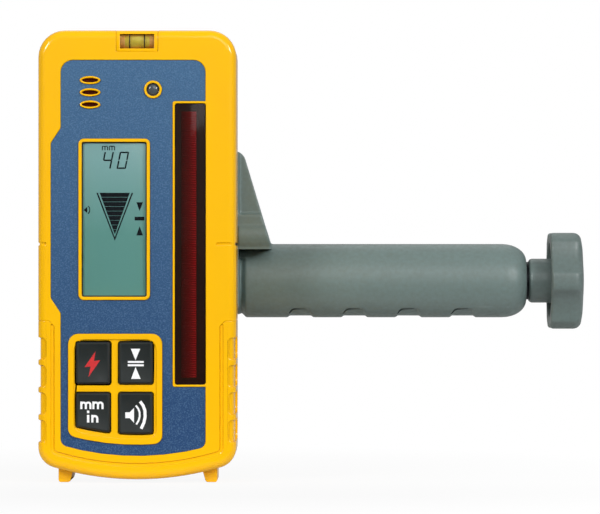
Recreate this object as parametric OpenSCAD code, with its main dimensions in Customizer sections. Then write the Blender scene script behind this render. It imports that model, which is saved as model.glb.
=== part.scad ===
// Laser receiver on a rod clamp.
// The front faces -Y, +X is to the right and +Z is up. The origin is on the clamp's rod seat, at
// the receiver's on-grade line and centre. Sizes are in millimetres.

/* [Receiver body] */
// Width of the housing
body_w = 76; // [74:0.5:84]
// Height of the housing above the on-grade line
body_top = 82; // [80:0.5:92]
// Depth below the on-grade line of the lowest point of the curved bottom
body_drop = 90.3; // [89.5:0.1:96]
// Depth of the housing, front to back
body_d = 36; // [34:0.5:44]
// Radius of the two top corners
top_corner_r = 10.3; // [7:0.1:12]
// Radius of the two bottom corners
bottom_corner_r = 8; // [7.6:0.1:10]
// Radius of the curved bottom edge
bottom_arc_r = 114; // [100:1:200]
// Rounding of the front edges
edge_r = 3.2; // [2.2:0.1:4]
// Rounding of the back edges
back_edge_r = 2.5; // [2:0.1:3.5]
// Thickness of the side walls
wall = 2.2; // [1.8:0.1:2.6]
// Thickness of the front wall
front_wall = 2.8; // [2.4:0.1:3.4]
// Thickness of the back wall
back_wall = 2.2; // [1.8:0.1:2.6]
// Depth of the front shell, up to the seam
front_shell_d = 21.7; // [20:0.1:22.5]
// Thickness of the seal between the two shells
seam = 0.6; // [0.4:0.1:1]

/* [Lower guard] */
// Height of the guard's top edge below the on-grade line
guard_top_drop = 29.5; // [28:0.5:31]
// Thickness of the guard on the sides and the bottom
guard_t = 1.8; // [1.4:0.1:2.2]
// Width of the guard's border on the front
guard_rim = 6.3; // [5.5:0.1:6.8]
// Width of the guard's border on the back
guard_back_rim = 2.6; // [2.4:0.1:3]
// Width of the groove beside the guard's front border
groove_w = 1.3; // [0.8:0.1:1.6]
// Depth of the groove beside the guard's front border
groove_depth = 0.5; // [0.3:0.1:0.8]
// Size of the slant at the guard's inner top corners
guard_slant = 2; // [1:0.1:2.5]
// Number of grip pockets on each side
grip_count = 4; // [3:1:4]
// Height of a grip pocket
grip_h = 8.35; // [7:0.05:8.6]
// Spacing of the grip pockets
grip_pitch = 10.53; // [10:0.01:10.8]
// Depth of a grip pocket
grip_depth = 0.8; // [0.4:0.1:1.1]
// Width of a foot
foot_w = 4.6; // [4:0.1:6]
// Distance of a foot's middle from the centre
foot_x = 28.3; // [26:0.1:29]
// Height of the feet below the curved bottom
foot_h = 1.4; // [1:0.1:3]
// Length of a foot, front to back
foot_l = 24; // [16:0.5:26]

/* [Front panel] */
// Depth of the recess that holds the label
label_recess = 0.8; // [0.6:0.1:1]
// Thickness of the label
label_t = 0.4; // [0.2:0.05:0.5]
// Distance of the label's top edge from the top of the housing
label_top_gap = 11.5; // [10:0.5:13]
// Height of the raised rims above the front of the housing
rim_proud = 0.3; // [0.1:0.1:0.6]
// Width of the sensor window
sensor_w = 11.7; // [10:0.1:12]
// Height of the sensor window
sensor_h = 107.6; // [90:0.1:110]
// Distance of the sensor window from the right side
sensor_gap = 11.75; // [11:0.05:13]
// Width of the border round the sensor window
sensor_border = 0.9; // [0.6:0.1:1.2]
// Width of the display pane
lcd_w = 24.7; // [22:0.1:25.5]
// Height of the display pane
lcd_h = 59.1; // [50:0.1:60]
// Distance of the display pane from the left side
lcd_gap = 16.9; // [16:0.1:17.5]
// Height of the display's middle above the on-grade line
lcd_z = 9.45; // [8:0.05:10.5]
// Width of the raised frame round the display
lcd_frame = 1.35; // [1:0.05:1.6]
// Width of a key
key_w = 13.2; // [12:0.1:13.5]
// Height of a key in the upper row
key_h = 16.3; // [14:0.1:16.5]
// Gap between the keys
key_space = 3.15; // [2.6:0.05:3.6]
// Height of a key above the front of the housing
key_proud = 1; // [0.6:0.1:1.6]
// Travel of a key
key_travel = 0.8; // [0.4:0.1:0.9]
// Width of the raised frame round the keypad
keypad_frame = 3; // [2.6:0.1:3.2]
// Height of the keypad frame's top edge below the on-grade line
keypad_top_drop = 34.4; // [33.5:0.1:35]
// Number of sound slots
slot_count = 3; // [1:1:3]
// Spacing of the sound slots
slot_pitch = 4.67; // [4:0.01:5]
// Length of a sound slot's rim
slot_rim_l = 7.85; // [7:0.05:9]
// Height of a sound slot's rim
slot_rim_h = 3.1; // [2.6:0.1:3.4]
// Radius of the round sensor's lens
strobe_r = 2.4; // [2:0.1:2.6]
// Width of the ring round the round sensor
strobe_ring = 1; // [0.7:0.1:1.3]

/* [Level] */
// Length of the level's insert
vial_insert_w = 16.1; // [15:0.1:18]
// Height of the level's insert
vial_insert_h = 8.3; // [8:0.1:9]
// Depth of the level's insert, front to back
vial_insert_d = 9; // [8:0.5:11]
// Length of the level's window
vial_window_w = 13.1; // [11:0.1:13.5]
// Height of the level's window
vial_window_h = 5.6; // [4.5:0.1:5.8]
// Outer radius of the vial
vial_r = 3.1; // [2.9:0.05:3.2]
// Thickness of the vial's wall
vial_wall = 0.6; // [0.4:0.05:0.8]

/* [Inside] */
// Thickness of the circuit boards
board_t = 1.6; // [1:0.1:2]
// Space between the front wall and the circuit boards
board_gap = 2.7; // [2.6:0.1:3.2]
// Radius of a screw boss
boss_r = 3.4; // [3.2:0.1:3.6]
// Radius of the housing screws
screw_r = 1.45; // [1.2:0.05:1.6]
// Radius of the heads of the housing screws
screw_head_r = 2.7; // [2.4:0.1:2.8]
// Number of photodiodes behind the sensor window
diode_count = 12; // [6:1:12]

/* [Battery compartment] */
// Radius of a battery cell
cell_r = 7.1; // [6.5:0.1:7.2]
// Length of a battery cell with its button
cell_l = 50.5; // [48:0.5:50.5]
// Length of a battery spring as fitted
cell_spring_l = 2.2; // [1.6:0.1:2.5]
// Height of the hinge pin above the lowest point of the housing
door_hinge_rise = 6.3; // [5.9:0.1:6.5]
// Radius of the hinge pin
hinge_pin_r = 0.9; // [0.7:0.05:1]
// Radius of the hinge knuckles
knuckle_r = 2.2; // [2:0.05:2.2]
// Thickness of the battery door
door_t = 2.1; // [1.6:0.1:2.1]

/* [Clamp] */
// Thickness of the clamp's back plate
plate_t = 8; // [7.5:0.5:10]
// Height of the raised rod seat on the plate
seat_h = 0.6; // [0.4:0.1:1]
// Height of the plate's top edge above the on-grade line
plate_top = 36.8; // [34:0.1:40]
// Depth of the plate's bottom edge below the on-grade line
plate_drop = 24; // [22:0.5:24.5]
// Thickness of the fixed jaw
jaw_t = 6.5; // [5:0.5:8]
// Thickness of a rubber jaw pad
pad_t = 2.5; // [2:0.1:3]
// Distance of the fixed jaw's pad from the mounting screw
rod_offset = 28; // [26:0.5:28]
// Gap between the jaw pads in the stored position
rod_gap = 38; // [34:0.5:38]
// Movement of the jaw from there to its smallest gap
close_travel = 25; // [20:0.5:25]
// Movement of the jaw from there to its largest gap
open_travel = 12.5; // [10:0.5:12.5]
// Thickness of the travelling jaw's head
head_t = 9; // [8:0.1:9.2]
// Reach of the jaws behind the rod seat
jaw_reach = 27; // [25:0.5:30]
// Radius of the handle tube
tube_r = 14.6; // [14.2:0.1:15.5]
// Length of the handle tube
tube_l = 113.9; // [113:0.1:125]
// Height of the handle's axis below the on-grade line
axis_drop = 14.4; // [14:0.1:15]
// Distance of the handle's axis behind the rod seat
axis_back = 12; // [12:0.1:14]
// Radius of the jaw's shank
shank_r = 10; // [9.5:0.1:10.2]
// Clearance round the shank
shank_gap = 0.3; // [0.3:0.05:0.4]
// Radius of the clamp screw
clamp_screw_r = 4; // [3.5:0.1:4]
// Running clearance of the clamp screw
run_gap = 0.06; // [0.02:0.01:0.09]
// Spacing of the finger pockets under the handle
finger_pitch = 21.5; // [18:0.1:22]
// Number of finger pockets
finger_count = 4; // [1:1:4]

/* [Knob] */
// Outer radius over the lobes
knob_r = 20.5; // [18:0.1:24]
// Thickness of the knob's rim
knob_t = 13.6; // [13:0.1:16]
// Number of lobes
lobe_count = 6; // [5:1:8]
// Depth of the flutes between the lobes
flute_depth = 2.9; // [1.5:0.1:3.4]
// Radius of the neck between the knob and the handle
neck_r = 8.75; // [8:0.05:9.5]
// Length of the neck
neck_l = 8.3; // [6:0.1:10]

/* [Mounting screw] */
// Height of the mounting screw above the on-grade line
mount_z = 18; // [16:0.5:22]
// Radius of the mounting screw
mount_screw_r = 2.45; // [2:0.05:2.6]
// Radius of the mounting screw's head
mount_head_r = 7; // [6:0.1:7.5]
// Travel of the mounting screw until it is free
mount_travel = 3; // [2.5:0.1:3]
// Distance of the locating cones from the mounting screw
cone_x = 16; // [14:0.5:18]

/* [Hidden] */
$fn = 72;

// Colours
yellow = "#f6b90c";
clamp_grey = "#6f7f79";
label_blue = "#3a638f";
key_grey = "#2c2d30";
board_green = "#2f6b45";
rubber_black = "#26282a";
steel = "#b9bcc0";
brass_gold = "#c9a24b";

// General clearances: a snug fit of still pieces, and a gap beside pieces that move
snug = 0.1;
slack = 0.3;
cut = 1;
corner_steps = 8;
arc_steps = 18;
edge_steps = 5;

// Levels along Y, from the front of the receiver to the rod seat
back_y = -plate_t;
front_y = back_y - body_d;
label_floor_y = front_y + label_recess;
rim_y = front_y - rim_proud;
wall_y = front_y + front_wall;
seam_front_y = front_y + front_shell_d;
seam_back_y = seam_front_y + seam;
inner_back_y = back_y - back_wall;
board_y = wall_y + board_gap;
board_back_y = board_y + board_t;

// Outline of the housing
half_w = body_w / 2;
arc_z = bottom_arc_r - body_drop;
corner_x = half_w - bottom_corner_r;
corner_reach = bottom_arc_r - bottom_corner_r;
corner_z = arc_z - sqrt(corner_reach * corner_reach - corner_x * corner_x);
corner_turn = asin(corner_x / corner_reach);
guard_z = -guard_top_drop;
guard_lap = 2;
grip_top_gap = 6.3;
grip_r = 2.2;
grip_front_gap = 0.6;
grip_back_gap = 4;
foot_back_shift = 2;
foot_chamfer = 0.6;
foot_draft = 1.5;
mark_h = 1;
mark_depth = 0.6;
mark_left_l = 3.2;
mark_right_l = 7.6;

// Front panel layout
label_top = body_top - label_top_gap;
label_left = -half_w + 8.7;
label_right = half_w - sensor_gap;
label_bulge = 3.8;
label_bottom_inset = 9.1;
label_corner_r = 4.6;
label_waist_top = 44.4;
label_waist_bottom = -20.7;
label_slant = 5.7;
sensor_x1 = half_w - sensor_gap;
sensor_x0 = sensor_x1 - sensor_w;
sensor_r = 0.9;
pane_t = 1.6;
pane_y = front_y + 0.1;
lcd_x0 = -half_w + lcd_gap;
lcd_x1 = lcd_x0 + lcd_w;
lcd_z0 = lcd_z - lcd_h / 2;
lcd_z1 = lcd_z + lcd_h / 2;
lcd_r = 0.8;
lcd_pane_t = 1.2;
lcd_ledge = 4;
glass_margin = 0.8;
backlight_rise = 1;
connector_inset = 1;
connector_gap = 0.6;
connector_h = 1.6;
glass_back_y = wall_y + snug + 0.9;
strobe_x = 6.1;
strobe_z = label_top - 11.3;
slot_x = label_left + 11.3;
slot_z = label_top - 12.4;
slot_l = 6.3;
slot_h = 1.7;

// Keypad layout
key_x0 = -half_w + 14.6;
key_x1 = key_x0 + key_w + key_space;
key_top_z = -keypad_top_drop - keypad_frame;
key_row_z = key_top_z - key_h - key_space;
key_bottom_inset = 17.3;
key_corner_r = 1.15;
key_flange = 0.7;
key_flange_t = 0.8;
key_side_gap = 0.25;
key_y = front_y - key_proud;
key_back_y = wall_y + snug + key_flange_t;
keypad_x0 = key_x0 - keypad_frame;
keypad_x1 = key_x1 + key_w + keypad_frame + 0.5;
keypad_bottom_inset = 13.4;
keypad_border = 2.2;
keypad_floor_y = front_y + 0.3;
mat_inset = 1.5;
dome_h = board_y - key_back_y - key_travel - 0.2;

// Level
vial_z = body_top - 4.3;
vial_y = front_y + 0.4 + vial_r;
vial_l = vial_window_w + 1;
vial_seat_x = vial_insert_w / 2;
vial_floor_z = body_top - vial_insert_h;
bubble_r = 1.25;
bubble_half = 1.35;

// Screw bosses
boss_x = half_w - 8;
boss_z = body_top - 10;
low_boss_x = 24;
low_boss_z = corner_z + 2;
boss_spots = [[-boss_x, boss_z], [boss_x, boss_z], [-low_boss_x, low_boss_z], [low_boss_x, low_boss_z]];
membrane_r = 7.6;
membrane_t = 0.4;
buzzer_r = 7.4;
buzzer_port_r = 1.2;
dome_r = 4;
dome_top_r = 2.6;
diode_w = 8.8;
diode_h = 1.4;
diode_margin = 8;
head_sink = 5;
head_h = 2.2;
head_slot_w = 0.7;
head_slot_depth = 1;
post_r = 2.2;
post_hole_r = 1;
post_depth = 0.8;
board_x0 = -half_w + 12;
board_x1 = sensor_x0 - 1.85;
board_z0 = low_boss_z + boss_r + 0.6;
board_z1 = boss_z - 2;
sensor_board_gap = 0.5;
sensor_board_reach = 4.6;
sensor_board_lap = 0.4;
board_screw_head_h = 1.3;
post_left_x = board_x0 + 3.2;
post_right_x = keypad_x1 - mat_inset + slack + post_r;
post_top_z = board_z1 - 3;
post_mid_z = key_top_z + 9.4;
board_posts = [[post_left_x, post_top_z], [post_right_x, post_top_z], [post_left_x, post_mid_z],
    [post_right_x, post_mid_z], [post_right_x, board_z0 + 3.5]];
sensor_posts = [for (side = [-1, 1]) [(sensor_x0 + sensor_x1) / 2, side * (sensor_h / 2 + 2.4)]];

// Battery compartment
hinge_z = -body_drop + door_hinge_rise;
hinge_y = back_y - 1;
knuckle_gap = 0.3;
tub_z0 = hinge_z + 1.5;
contact_t = 0.3;
contact_w = 8;
spring_r = 3.4;
tub_z1 = tub_z0 + cell_spring_l + cell_l + contact_t;
cell_x = cell_r + 0.8;
cell_y = inner_back_y - cell_r - 1.6;
tub_x = cell_x + cell_r + 1;
tub_y = cell_y - cell_r - 0.2;
tub_wall = 1.5;
door_x = tub_x + 3;
door_z0 = hinge_z + 2.6;
door_z1 = tub_z1 + 2.1;
door_gap = 0.25;
ledge_t = 2;
ledge_w = 1.2;
thumb_w = 14;
thumb_r = 4;
thumb_depth = 0.6;
rib_l = 12;
rib_t = 0.8;
rib_proud = 0.35;
button_l = 1.1;
button_r = 2.7;
pin_end_x = door_x - 2;
knuckle_x1 = door_x - 6.5;
knuckle_x0 = knuckle_x1 - 6;
door_knuckles = [[-knuckle_x1, -knuckle_x0], [knuckle_x0, knuckle_x1]];
housing_knuckles = [[-pin_end_x, -knuckle_x1 - knuckle_gap], [-knuckle_x0 + knuckle_gap, knuckle_x0 - knuckle_gap],
    [knuckle_x1 + knuckle_gap, pin_end_x]];

// Clamp
axis_y = axis_back;
axis_z = -axis_drop;
plate_face_y = -seat_h;
seat_inset = 1;
fixed_face_x = -rod_offset;
moving_face_x = fixed_face_x + rod_gap;
jaw_gap_y = 0.4;
jaw_z0 = -plate_drop - 2.5;
jaw_z1 = 6;
fixed_jaw_top_z = 8;
pad_margin = 1.5;
pad_groove_depth = 0.9;
pad_groove_w = 1.2;
pad_groove_count = 4;
head_x = moving_face_x + pad_t;
head_end_x = head_x + head_t;
root_x = head_end_x + open_travel + 0.5;
tube_lap = 0.5;
tube_x = half_w + tube_lap;
tube_end_x = tube_x + tube_l;
tube_chamfer = 3;
tube_nose_l = 9.5;
tube_nose_flat = 8;
bore_r = shank_r + shank_gap;
bore_end_x = tube_end_x - 16.4;
key_rib_w = 3;
key_rib_h = 1.2;
nut_l = 8;
nut_r = 7;
shank_end_x = tube_x + close_travel + 17.5;
screw_x0 = shank_end_x - nut_l - close_travel - 1;
screw_room_x = screw_x0 - open_travel - 3;
collar_r = 8;
collar_l = 5;
collar_pin_r = 1;
washer_t = 0.8;
washer_r = 7.5;
neck_round = 1.5;
neck_x = tube_end_x + washer_t;
knob_x = neck_x + neck_l;
knob_end_x = knob_x + knob_t;
screw_end_x = knob_end_x - 7;
knob_screw_r = 2;
knob_screw_l = 8;
knob_screw_head_r = 3.7;
knob_socket_r = 1.5;
knob_screw_head_h = 3;
knob_inner_r = 1.6;
knob_outer_r = 3.4;
knob_dome = 1.2;
flute_r = 17.5;
knob_web_t = 5.6;
knob_wall = 2.4;
cap_r = 6;
cap_t = 2;
plate_slant_x = 9;
plate_slant_z = 16;
plate_corner_r = 6;
gusset_foot_z = 0.3;
gusset_end_x = tube_x + 12.4;
gusset_top_x = tube_x + 1.4;
gusset_top_r = 4.7;
bulge_r = 5.3;
bulge_z = 3.3;
bulge_y = back_y + 3.3;
fin_front_y = back_y + 3;
fin_step_z = 11.9;
finger_x = tube_x + 18.7;
finger_l = 10.8;
finger_depth = 0.7;
finger_top_z = axis_z - 11;
mount_head_h = 3;
mount_head_sink = 1;
coin_slot_w = 1.8;
coin_slot_depth = 1.5;
mount_web_y = plate_face_y - mount_head_sink + seat_h - mount_head_h - snug;
insert_r = 4;
insert_l = 5;
insert_mouth_r = 6;
retainer_t = 0.6;
retainer_y = back_y - mount_travel - 0.05 - retainer_t;
insert_y = retainer_y - 0.35;
retainer_r = 4.6;
neck_groove_r = mount_screw_r - 0.55;
cone_r = 3;
cone_h = 1.8;

// Points of a circular arc, both ends included
function arc(centre, r, from, to, steps) =
    [for (i = [0:steps]) let (a = from + (to - from) * i / steps) centre + r * [cos(a), sin(a)]];

// Arc without its end points
function inner_arc(centre, r, from, to, steps) =
    [for (i = [1:steps - 1]) let (a = from + (to - from) * i / steps) centre + r * [cos(a), sin(a)]];

// Outline of the housing in X and Z, drawn in by an inset
function body_outline(inset) = concat(
    arc([half_w - top_corner_r, body_top - top_corner_r], top_corner_r - inset, 0, 90, corner_steps),
    arc([top_corner_r - half_w, body_top - top_corner_r], top_corner_r - inset, 90, 180, corner_steps),
    arc([-corner_x, corner_z], bottom_corner_r - inset, 180, 270 - corner_turn, corner_steps),
    inner_arc([0, arc_z], bottom_arc_r - inset, 270 - corner_turn, 270 + corner_turn, arc_steps),
    arc([corner_x, corner_z], bottom_corner_r - inset, 270 + corner_turn, 360, corner_steps));

// Height of the curved bottom, drawn in by an inset, at a given X
function bottom_at(x, inset) = arc_z - sqrt(pow(bottom_arc_r - inset, 2) - x * x);

function unit(v) = v / norm(v);

// Fillet of radius r at corner b, between neighbours a and c
function fillet(a, b, c, r, steps) =
    let (u = unit(a - b), v = unit(c - b), half = acos(u * v) / 2)
    let (centre = b + unit(u + v) * r / sin(half), first = b + u * r / tan(half) - centre)
    let (turn = sign(cross(u, v)) * (180 - 2 * half), start = atan2(first[1], first[0]))
    [for (i = [0:steps]) let (t = start - turn * i / steps) centre + r * [cos(t), sin(t)]];

// Closed path from corners [x, y, radius]
function rounded_path(corners, steps = 6) =
    [for (i = [0:len(corners) - 1])
        let (n = len(corners), p = corners[(i + n - 1) % n], q = corners[i], s = corners[(i + 1) % n])
        each q[2] > 0 ? fillet([p[0], p[1]], [q[0], q[1]], [s[0], s[1]], q[2], steps) : [[q[0], q[1]]]];

function rounded_rect(x0, z0, x1, z1, r) =
    rounded_path([[x0, z0, r], [x1, z0, r], [x1, z1, r], [x0, z1, r]]);

// Area with a rounded top and a bottom that follows the housing's curved edge
function apron(x0, x1, top, inset, top_r, bottom_r, steps = 5) = rounded_path(concat(
    [[x1, top, top_r], [x0, top, top_r]],
    [for (i = [0:steps]) let (x = x0 + (x1 - x0) * i / steps)
        [x, bottom_at(x, inset), i == 0 || i == steps ? bottom_r : 0]]));

function ellipse(a, b, steps = 36) =
    [for (i = [0:steps - 1]) [a * cos(360 * i / steps), b * sin(360 * i / steps)]];

// Shape in X and Z, carried along Y
module y_prism(y0, y1) {
    translate([0, y1, 0]) rotate([90, 0, 0]) linear_extrude(y1 - y0) children();
}

// Shape in Y and Z, carried along X
module x_prism(x0, x1) {
    translate([x0, 0, 0]) rotate([90, 0, 90]) linear_extrude(x1 - x0) children();
}

module y_rod(x, z, y0, y1, r) {
    translate([x, y1, z]) rotate([90, 0, 0]) cylinder(h = y1 - y0, r = r);
}

module x_rod(x0, x1, y, z, r) {
    translate([x0, y, z]) rotate([0, 90, 0]) cylinder(h = x1 - x0, r = r);
}

module z_rod(x, y, z0, z1, r) {
    translate([x, y, z0]) cylinder(h = z1 - z0, r = r);
}

module box(low, high) {
    translate(low) cube(high - low);
}

// Solid through a list of rings that have the same number of points
module loft(rings) {
    n = len(rings[0]);
    m = len(rings);
    sides = [for (k = [0:m - 2]) for (i = [0:n - 1])
        [k * n + i, k * n + (i + 1) % n, (k + 1) * n + (i + 1) % n, (k + 1) * n + i]];
    first = [for (i = [n - 1:-1:0]) i];
    last = [for (i = [0:n - 1]) (m - 1) * n + i];
    polyhedron(points = [for (ring = rings) each ring], faces = concat([first, last], sides));
}

function slab_ring(inset, y) = [for (p = body_outline(inset)) [p[0], y, p[1]]];

// The whole housing with rounded edges, drawn in on every side by an inset
module slab(inset) {
    r0 = max(edge_r - inset, 0.4);
    r1 = max(back_edge_r - inset, 0.4);
    loft(concat(
        [for (i = [0:edge_steps]) let (a = 90 * i / edge_steps)
            slab_ring(inset + r0 * (1 - sin(a)), front_y + inset + r0 * (1 - cos(a)))],
        [for (i = [edge_steps:-1:0]) let (a = 90 * i / edge_steps)
            slab_ring(inset + r1 * (1 - sin(a)), back_y - inset - r1 * (1 - cos(a)))]));
}

module above_guard(lap = 0) {
    box([-body_w, front_y - cut, guard_z + lap], [body_w, back_y + cut, body_top + cut]);
}

module below_guard_top() {
    box([-body_w, front_y - cut, -body_drop - cut], [body_w, back_y + cut, guard_z]);
}

// Middle of the front and back faces, which the guard's borders surround
module core_face(y0, y1, inset, slant) {
    intersection() {
        y_prism(y0, y1) union() {
            polygon(body_outline(inset));
            if (slant > 0) for (side = [-1, 1])
                polygon([[side * (half_w - inset - cut), guard_z], [side * (half_w - inset + slant), guard_z],
                    [side * (half_w - inset), guard_z - slant], [side * (half_w - inset - cut), guard_z - slant]]);
        }
        below_guard_top();
    }
}

// What the guard wraps round, grown by a gap
module guard_core(gap) {
    intersection() {
        slab(guard_t - gap);
        below_guard_top();
    }
    core_face(front_y - gap, front_y + edge_r, guard_rim - gap, guard_slant);
    core_face(back_y - back_edge_r, back_y + gap, guard_back_rim - gap, 0);
}

module housing_solid() {
    intersection() {
        slab(0);
        above_guard();
    }
    guard_core(0);
}

module cavity(y0, y1) {
    y_prism(y0, y1) union() {
        intersection() {
            polygon(body_outline(wall));
            translate([-body_w, guard_z + guard_lap]) square([2 * body_w, body_w * 2]);
        }
        polygon(body_outline(guard_t + wall));
    }
}

// On-grade groove round the front and the two sides
module grade_marks() {
    h = mark_h / 2;
    box([-half_w - cut, front_y - cut, -h], [-half_w + mark_left_l, front_y + mark_depth, h]);
    box([half_w - mark_right_l, front_y - cut, -h], [half_w + cut, front_y + mark_depth, h]);
    for (side = [-1, 1])
        box([side * half_w - mark_depth, front_y - cut, -h], [side * half_w + mark_depth, back_y + cut, h]);
}

module label_area(gap = 0) {
    left = label_left - gap;
    bulge = left - label_bulge;
    top = label_top + gap;
    right = label_right + gap;
    inset = label_bottom_inset - gap;
    steps = 7;
    polygon(rounded_path(concat(
        [[right, top, label_corner_r], [left, top, label_corner_r], [left, label_waist_top, 2],
            [bulge, label_waist_top - label_slant, 2], [bulge, label_waist_bottom, 2],
            [left, label_waist_bottom - label_slant, 2]],
        [for (i = [0:steps]) let (x = left + (right - left) * i / steps)
            [x, bottom_at(x, inset), i == 0 || i == steps ? 3 : 0]])));
}

module sensor_area(grow) {
    polygon(rounded_rect(sensor_x0 - grow, -sensor_h / 2 - grow, sensor_x1 + grow, sensor_h / 2 + grow, sensor_r));
}

// Window with its border, which has no strip on the right
module sensor_border_area(grow) {
    polygon(rounded_rect(sensor_x0 - sensor_border - grow, -sensor_h / 2 - sensor_border - grow,
        label_right + 2, sensor_h / 2 + sensor_border + grow, sensor_r));
}

module lcd_area(grow, r = lcd_r) {
    polygon(rounded_rect(lcd_x0 - grow, lcd_z0 - grow, lcd_x1 + grow, lcd_z1 + grow, r));
}

module keypad_area(grow) {
    polygon(apron(keypad_x0 - grow, keypad_x1 + grow, -keypad_top_drop + grow,
        keypad_bottom_inset - grow, 4, 3.4));
}

// One key's outline: column 0 or 1, row 0 above row 1
module key_area(column, row, grow) {
    x0 = (column == 0 ? key_x0 : key_x1) - grow;
    x1 = x0 + key_w + 2 * grow;
    if (row == 0)
        polygon(rounded_rect(x0, key_top_z - key_h - grow, x1, key_top_z + grow, key_corner_r));
    else
        polygon(apron(x0, x1, key_row_z + grow, key_bottom_inset - grow, key_corner_r, key_corner_r, 3));
}

module each_slot() {
    for (i = [0:slot_count - 1]) translate([slot_x, slot_z + (i - (slot_count - 1) / 2) * slot_pitch]) children();
}

module slot_rims(grow) {
    each_slot() polygon(ellipse(slot_rim_l / 2 + grow, slot_rim_h / 2 + grow));
}

// Raised borders on the front wall
module rims() {
    y_prism(rim_y, wall_y - snug) difference() {
        lcd_area(lcd_frame, lcd_r + lcd_frame);
        lcd_area(snug);
    }
    y_prism(rim_y, wall_y - snug) difference() {
        keypad_area(0);
        keypad_area(-keypad_border);
    }
    y_prism(keypad_floor_y, wall_y - snug) keypad_area(-keypad_border + snug);
    y_prism(front_y, wall_y - snug) difference() {
        sensor_border_area(0);
        sensor_area(snug);
    }
    y_prism(rim_y, wall_y - snug) slot_rims(0);
    y_rod(strobe_x, strobe_z, rim_y, wall_y - snug, strobe_r + strobe_ring);
}

// Everything that goes through the front wall
module wall_openings() {
    y_prism(front_y - cut, front_y + pane_t + snug) sensor_area(snug);
    y_prism(front_y - cut, wall_y + cut) sensor_area(-0.6);
    y_prism(front_y - cut, wall_y + cut) lcd_area(snug);
    for (column = [0, 1]) for (row = [0, 1])
        y_prism(front_y - 2 * cut, wall_y + cut) key_area(column, row, key_side_gap);
    y_prism(front_y - 2 * cut, wall_y + cut) each_slot() polygon(ellipse(slot_l / 2, slot_h / 2));
    y_rod(strobe_x, strobe_z, front_y - 2 * cut, wall_y + cut, strobe_r + snug);
}

// Walls of the pocket for the level's insert
module vial_pocket_walls() {
    t = 1.6;
    box([-vial_seat_x - t, front_y + edge_r, vial_floor_z - t],
        [vial_seat_x + t, front_y + vial_insert_d + t, body_top - wall / 2]);
}

module vial_pocket() {
    box([-vial_seat_x, front_y - cut, vial_floor_z],
        [vial_seat_x, front_y + vial_insert_d, body_top + cut]);
}

module front_housing() color(yellow) {
    difference() {
        union() {
            difference() {
                intersection() {
                    housing_solid();
                    box([-body_w, front_y - cut, -body_drop - cut], [body_w, seam_front_y, body_top + cut]);
                }
                cavity(wall_y, seam_front_y + cut);
                y_prism(front_y - cut, label_floor_y) label_area();
                grade_marks();
            }
            rims();
            for (spot = boss_spots) y_rod(spot[0], spot[1], wall_y - snug, seam_front_y, boss_r);
            for (spot = concat(board_posts, sensor_posts)) y_rod(spot[0], spot[1], wall_y - snug, board_y, post_r);
            vial_pocket_walls();
        }
        vial_pocket();
        wall_openings();
        for (spot = boss_spots) y_rod(spot[0], spot[1], wall_y + cut, seam_front_y + cut, screw_r + 0.05);
        for (spot = concat(board_posts, sensor_posts))
            y_rod(spot[0], spot[1], wall_y - post_depth, board_y + cut, post_hole_r);
    }
}

module battery_tub() {
    difference() {
        union() {
            box([-tub_x - tub_wall, tub_y - tub_wall, tub_z0 - tub_wall],
                [tub_x + tub_wall, inner_back_y, tub_z1 + tub_wall]);
            box([-door_x - ledge_w, inner_back_y - ledge_t, tub_z0 - tub_wall],
                [door_x + ledge_w, inner_back_y + snug, door_z1 + ledge_w]);
        }
        box([-tub_x, tub_y, tub_z0], [tub_x, back_y + cut, tub_z1]);
    }
}

module door_room() {
    box([-door_x - door_gap, back_y - door_t - 0.05, door_z0 - door_gap],
        [door_x + door_gap, back_y + cut, door_z1 + door_gap]);
    for (k = door_knuckles) {
        x_rod(k[0] - knuckle_gap, k[1] + knuckle_gap, hinge_y, hinge_z, knuckle_r + slack);
        box([k[0] - knuckle_gap, hinge_y - knuckle_r / 2, hinge_z],
            [k[1] + knuckle_gap, back_y + cut, door_z0]);
    }
}

module rear_housing() color(yellow) {
    difference() {
        union() {
            difference() {
                intersection() {
                    housing_solid();
                    box([-body_w, seam_back_y, -body_drop - cut], [body_w, back_y + cut, body_top + cut]);
                }
                cavity(seam_back_y - cut, inner_back_y);
                grade_marks();
            }
            battery_tub();
            for (spot = boss_spots) y_rod(spot[0], spot[1], seam_back_y, inner_back_y + snug, boss_r);
            y_rod(0, mount_z, insert_y - insert_l - 1.5, inner_back_y + snug, insert_mouth_r + 1.5);
            for (side = [-1, 1]) y_rod(side * cone_x, mount_z, inner_back_y - 1.6, inner_back_y + snug, cone_r + 1.8);
            for (k = housing_knuckles) x_rod(k[0], k[1], hinge_y, hinge_z, knuckle_r);
        }
        box([-tub_x, tub_y, tub_z0], [tub_x, back_y - door_t, tub_z1]);
        door_room();
        x_rod(-door_x, door_x, hinge_y, hinge_z, hinge_pin_r + 0.03);
        for (spot = boss_spots) {
            y_rod(spot[0], spot[1], seam_back_y - cut, back_y + cut, screw_r + 0.2);
            y_rod(spot[0], spot[1], back_y - head_sink, back_y + cut, screw_head_r + slack);
        }
        y_rod(0, mount_z, insert_y - insert_l, insert_y + cut, insert_r);
        y_rod(0, mount_z, insert_y, back_y + cut, insert_mouth_r);
        for (side = [-1, 1]) locating_cone(side, slack);
    }
}

// Cone that lines the clamp up with the receiver, grown by a gap for its dimple
module locating_cone(side, gap) {
    translate([side * cone_x, back_y + 0.01, mount_z]) rotate([90, 0, 0])
        cylinder(h = cone_h + gap, r1 = cone_r + gap, r2 = cone_r / 2 + gap);
}

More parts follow.
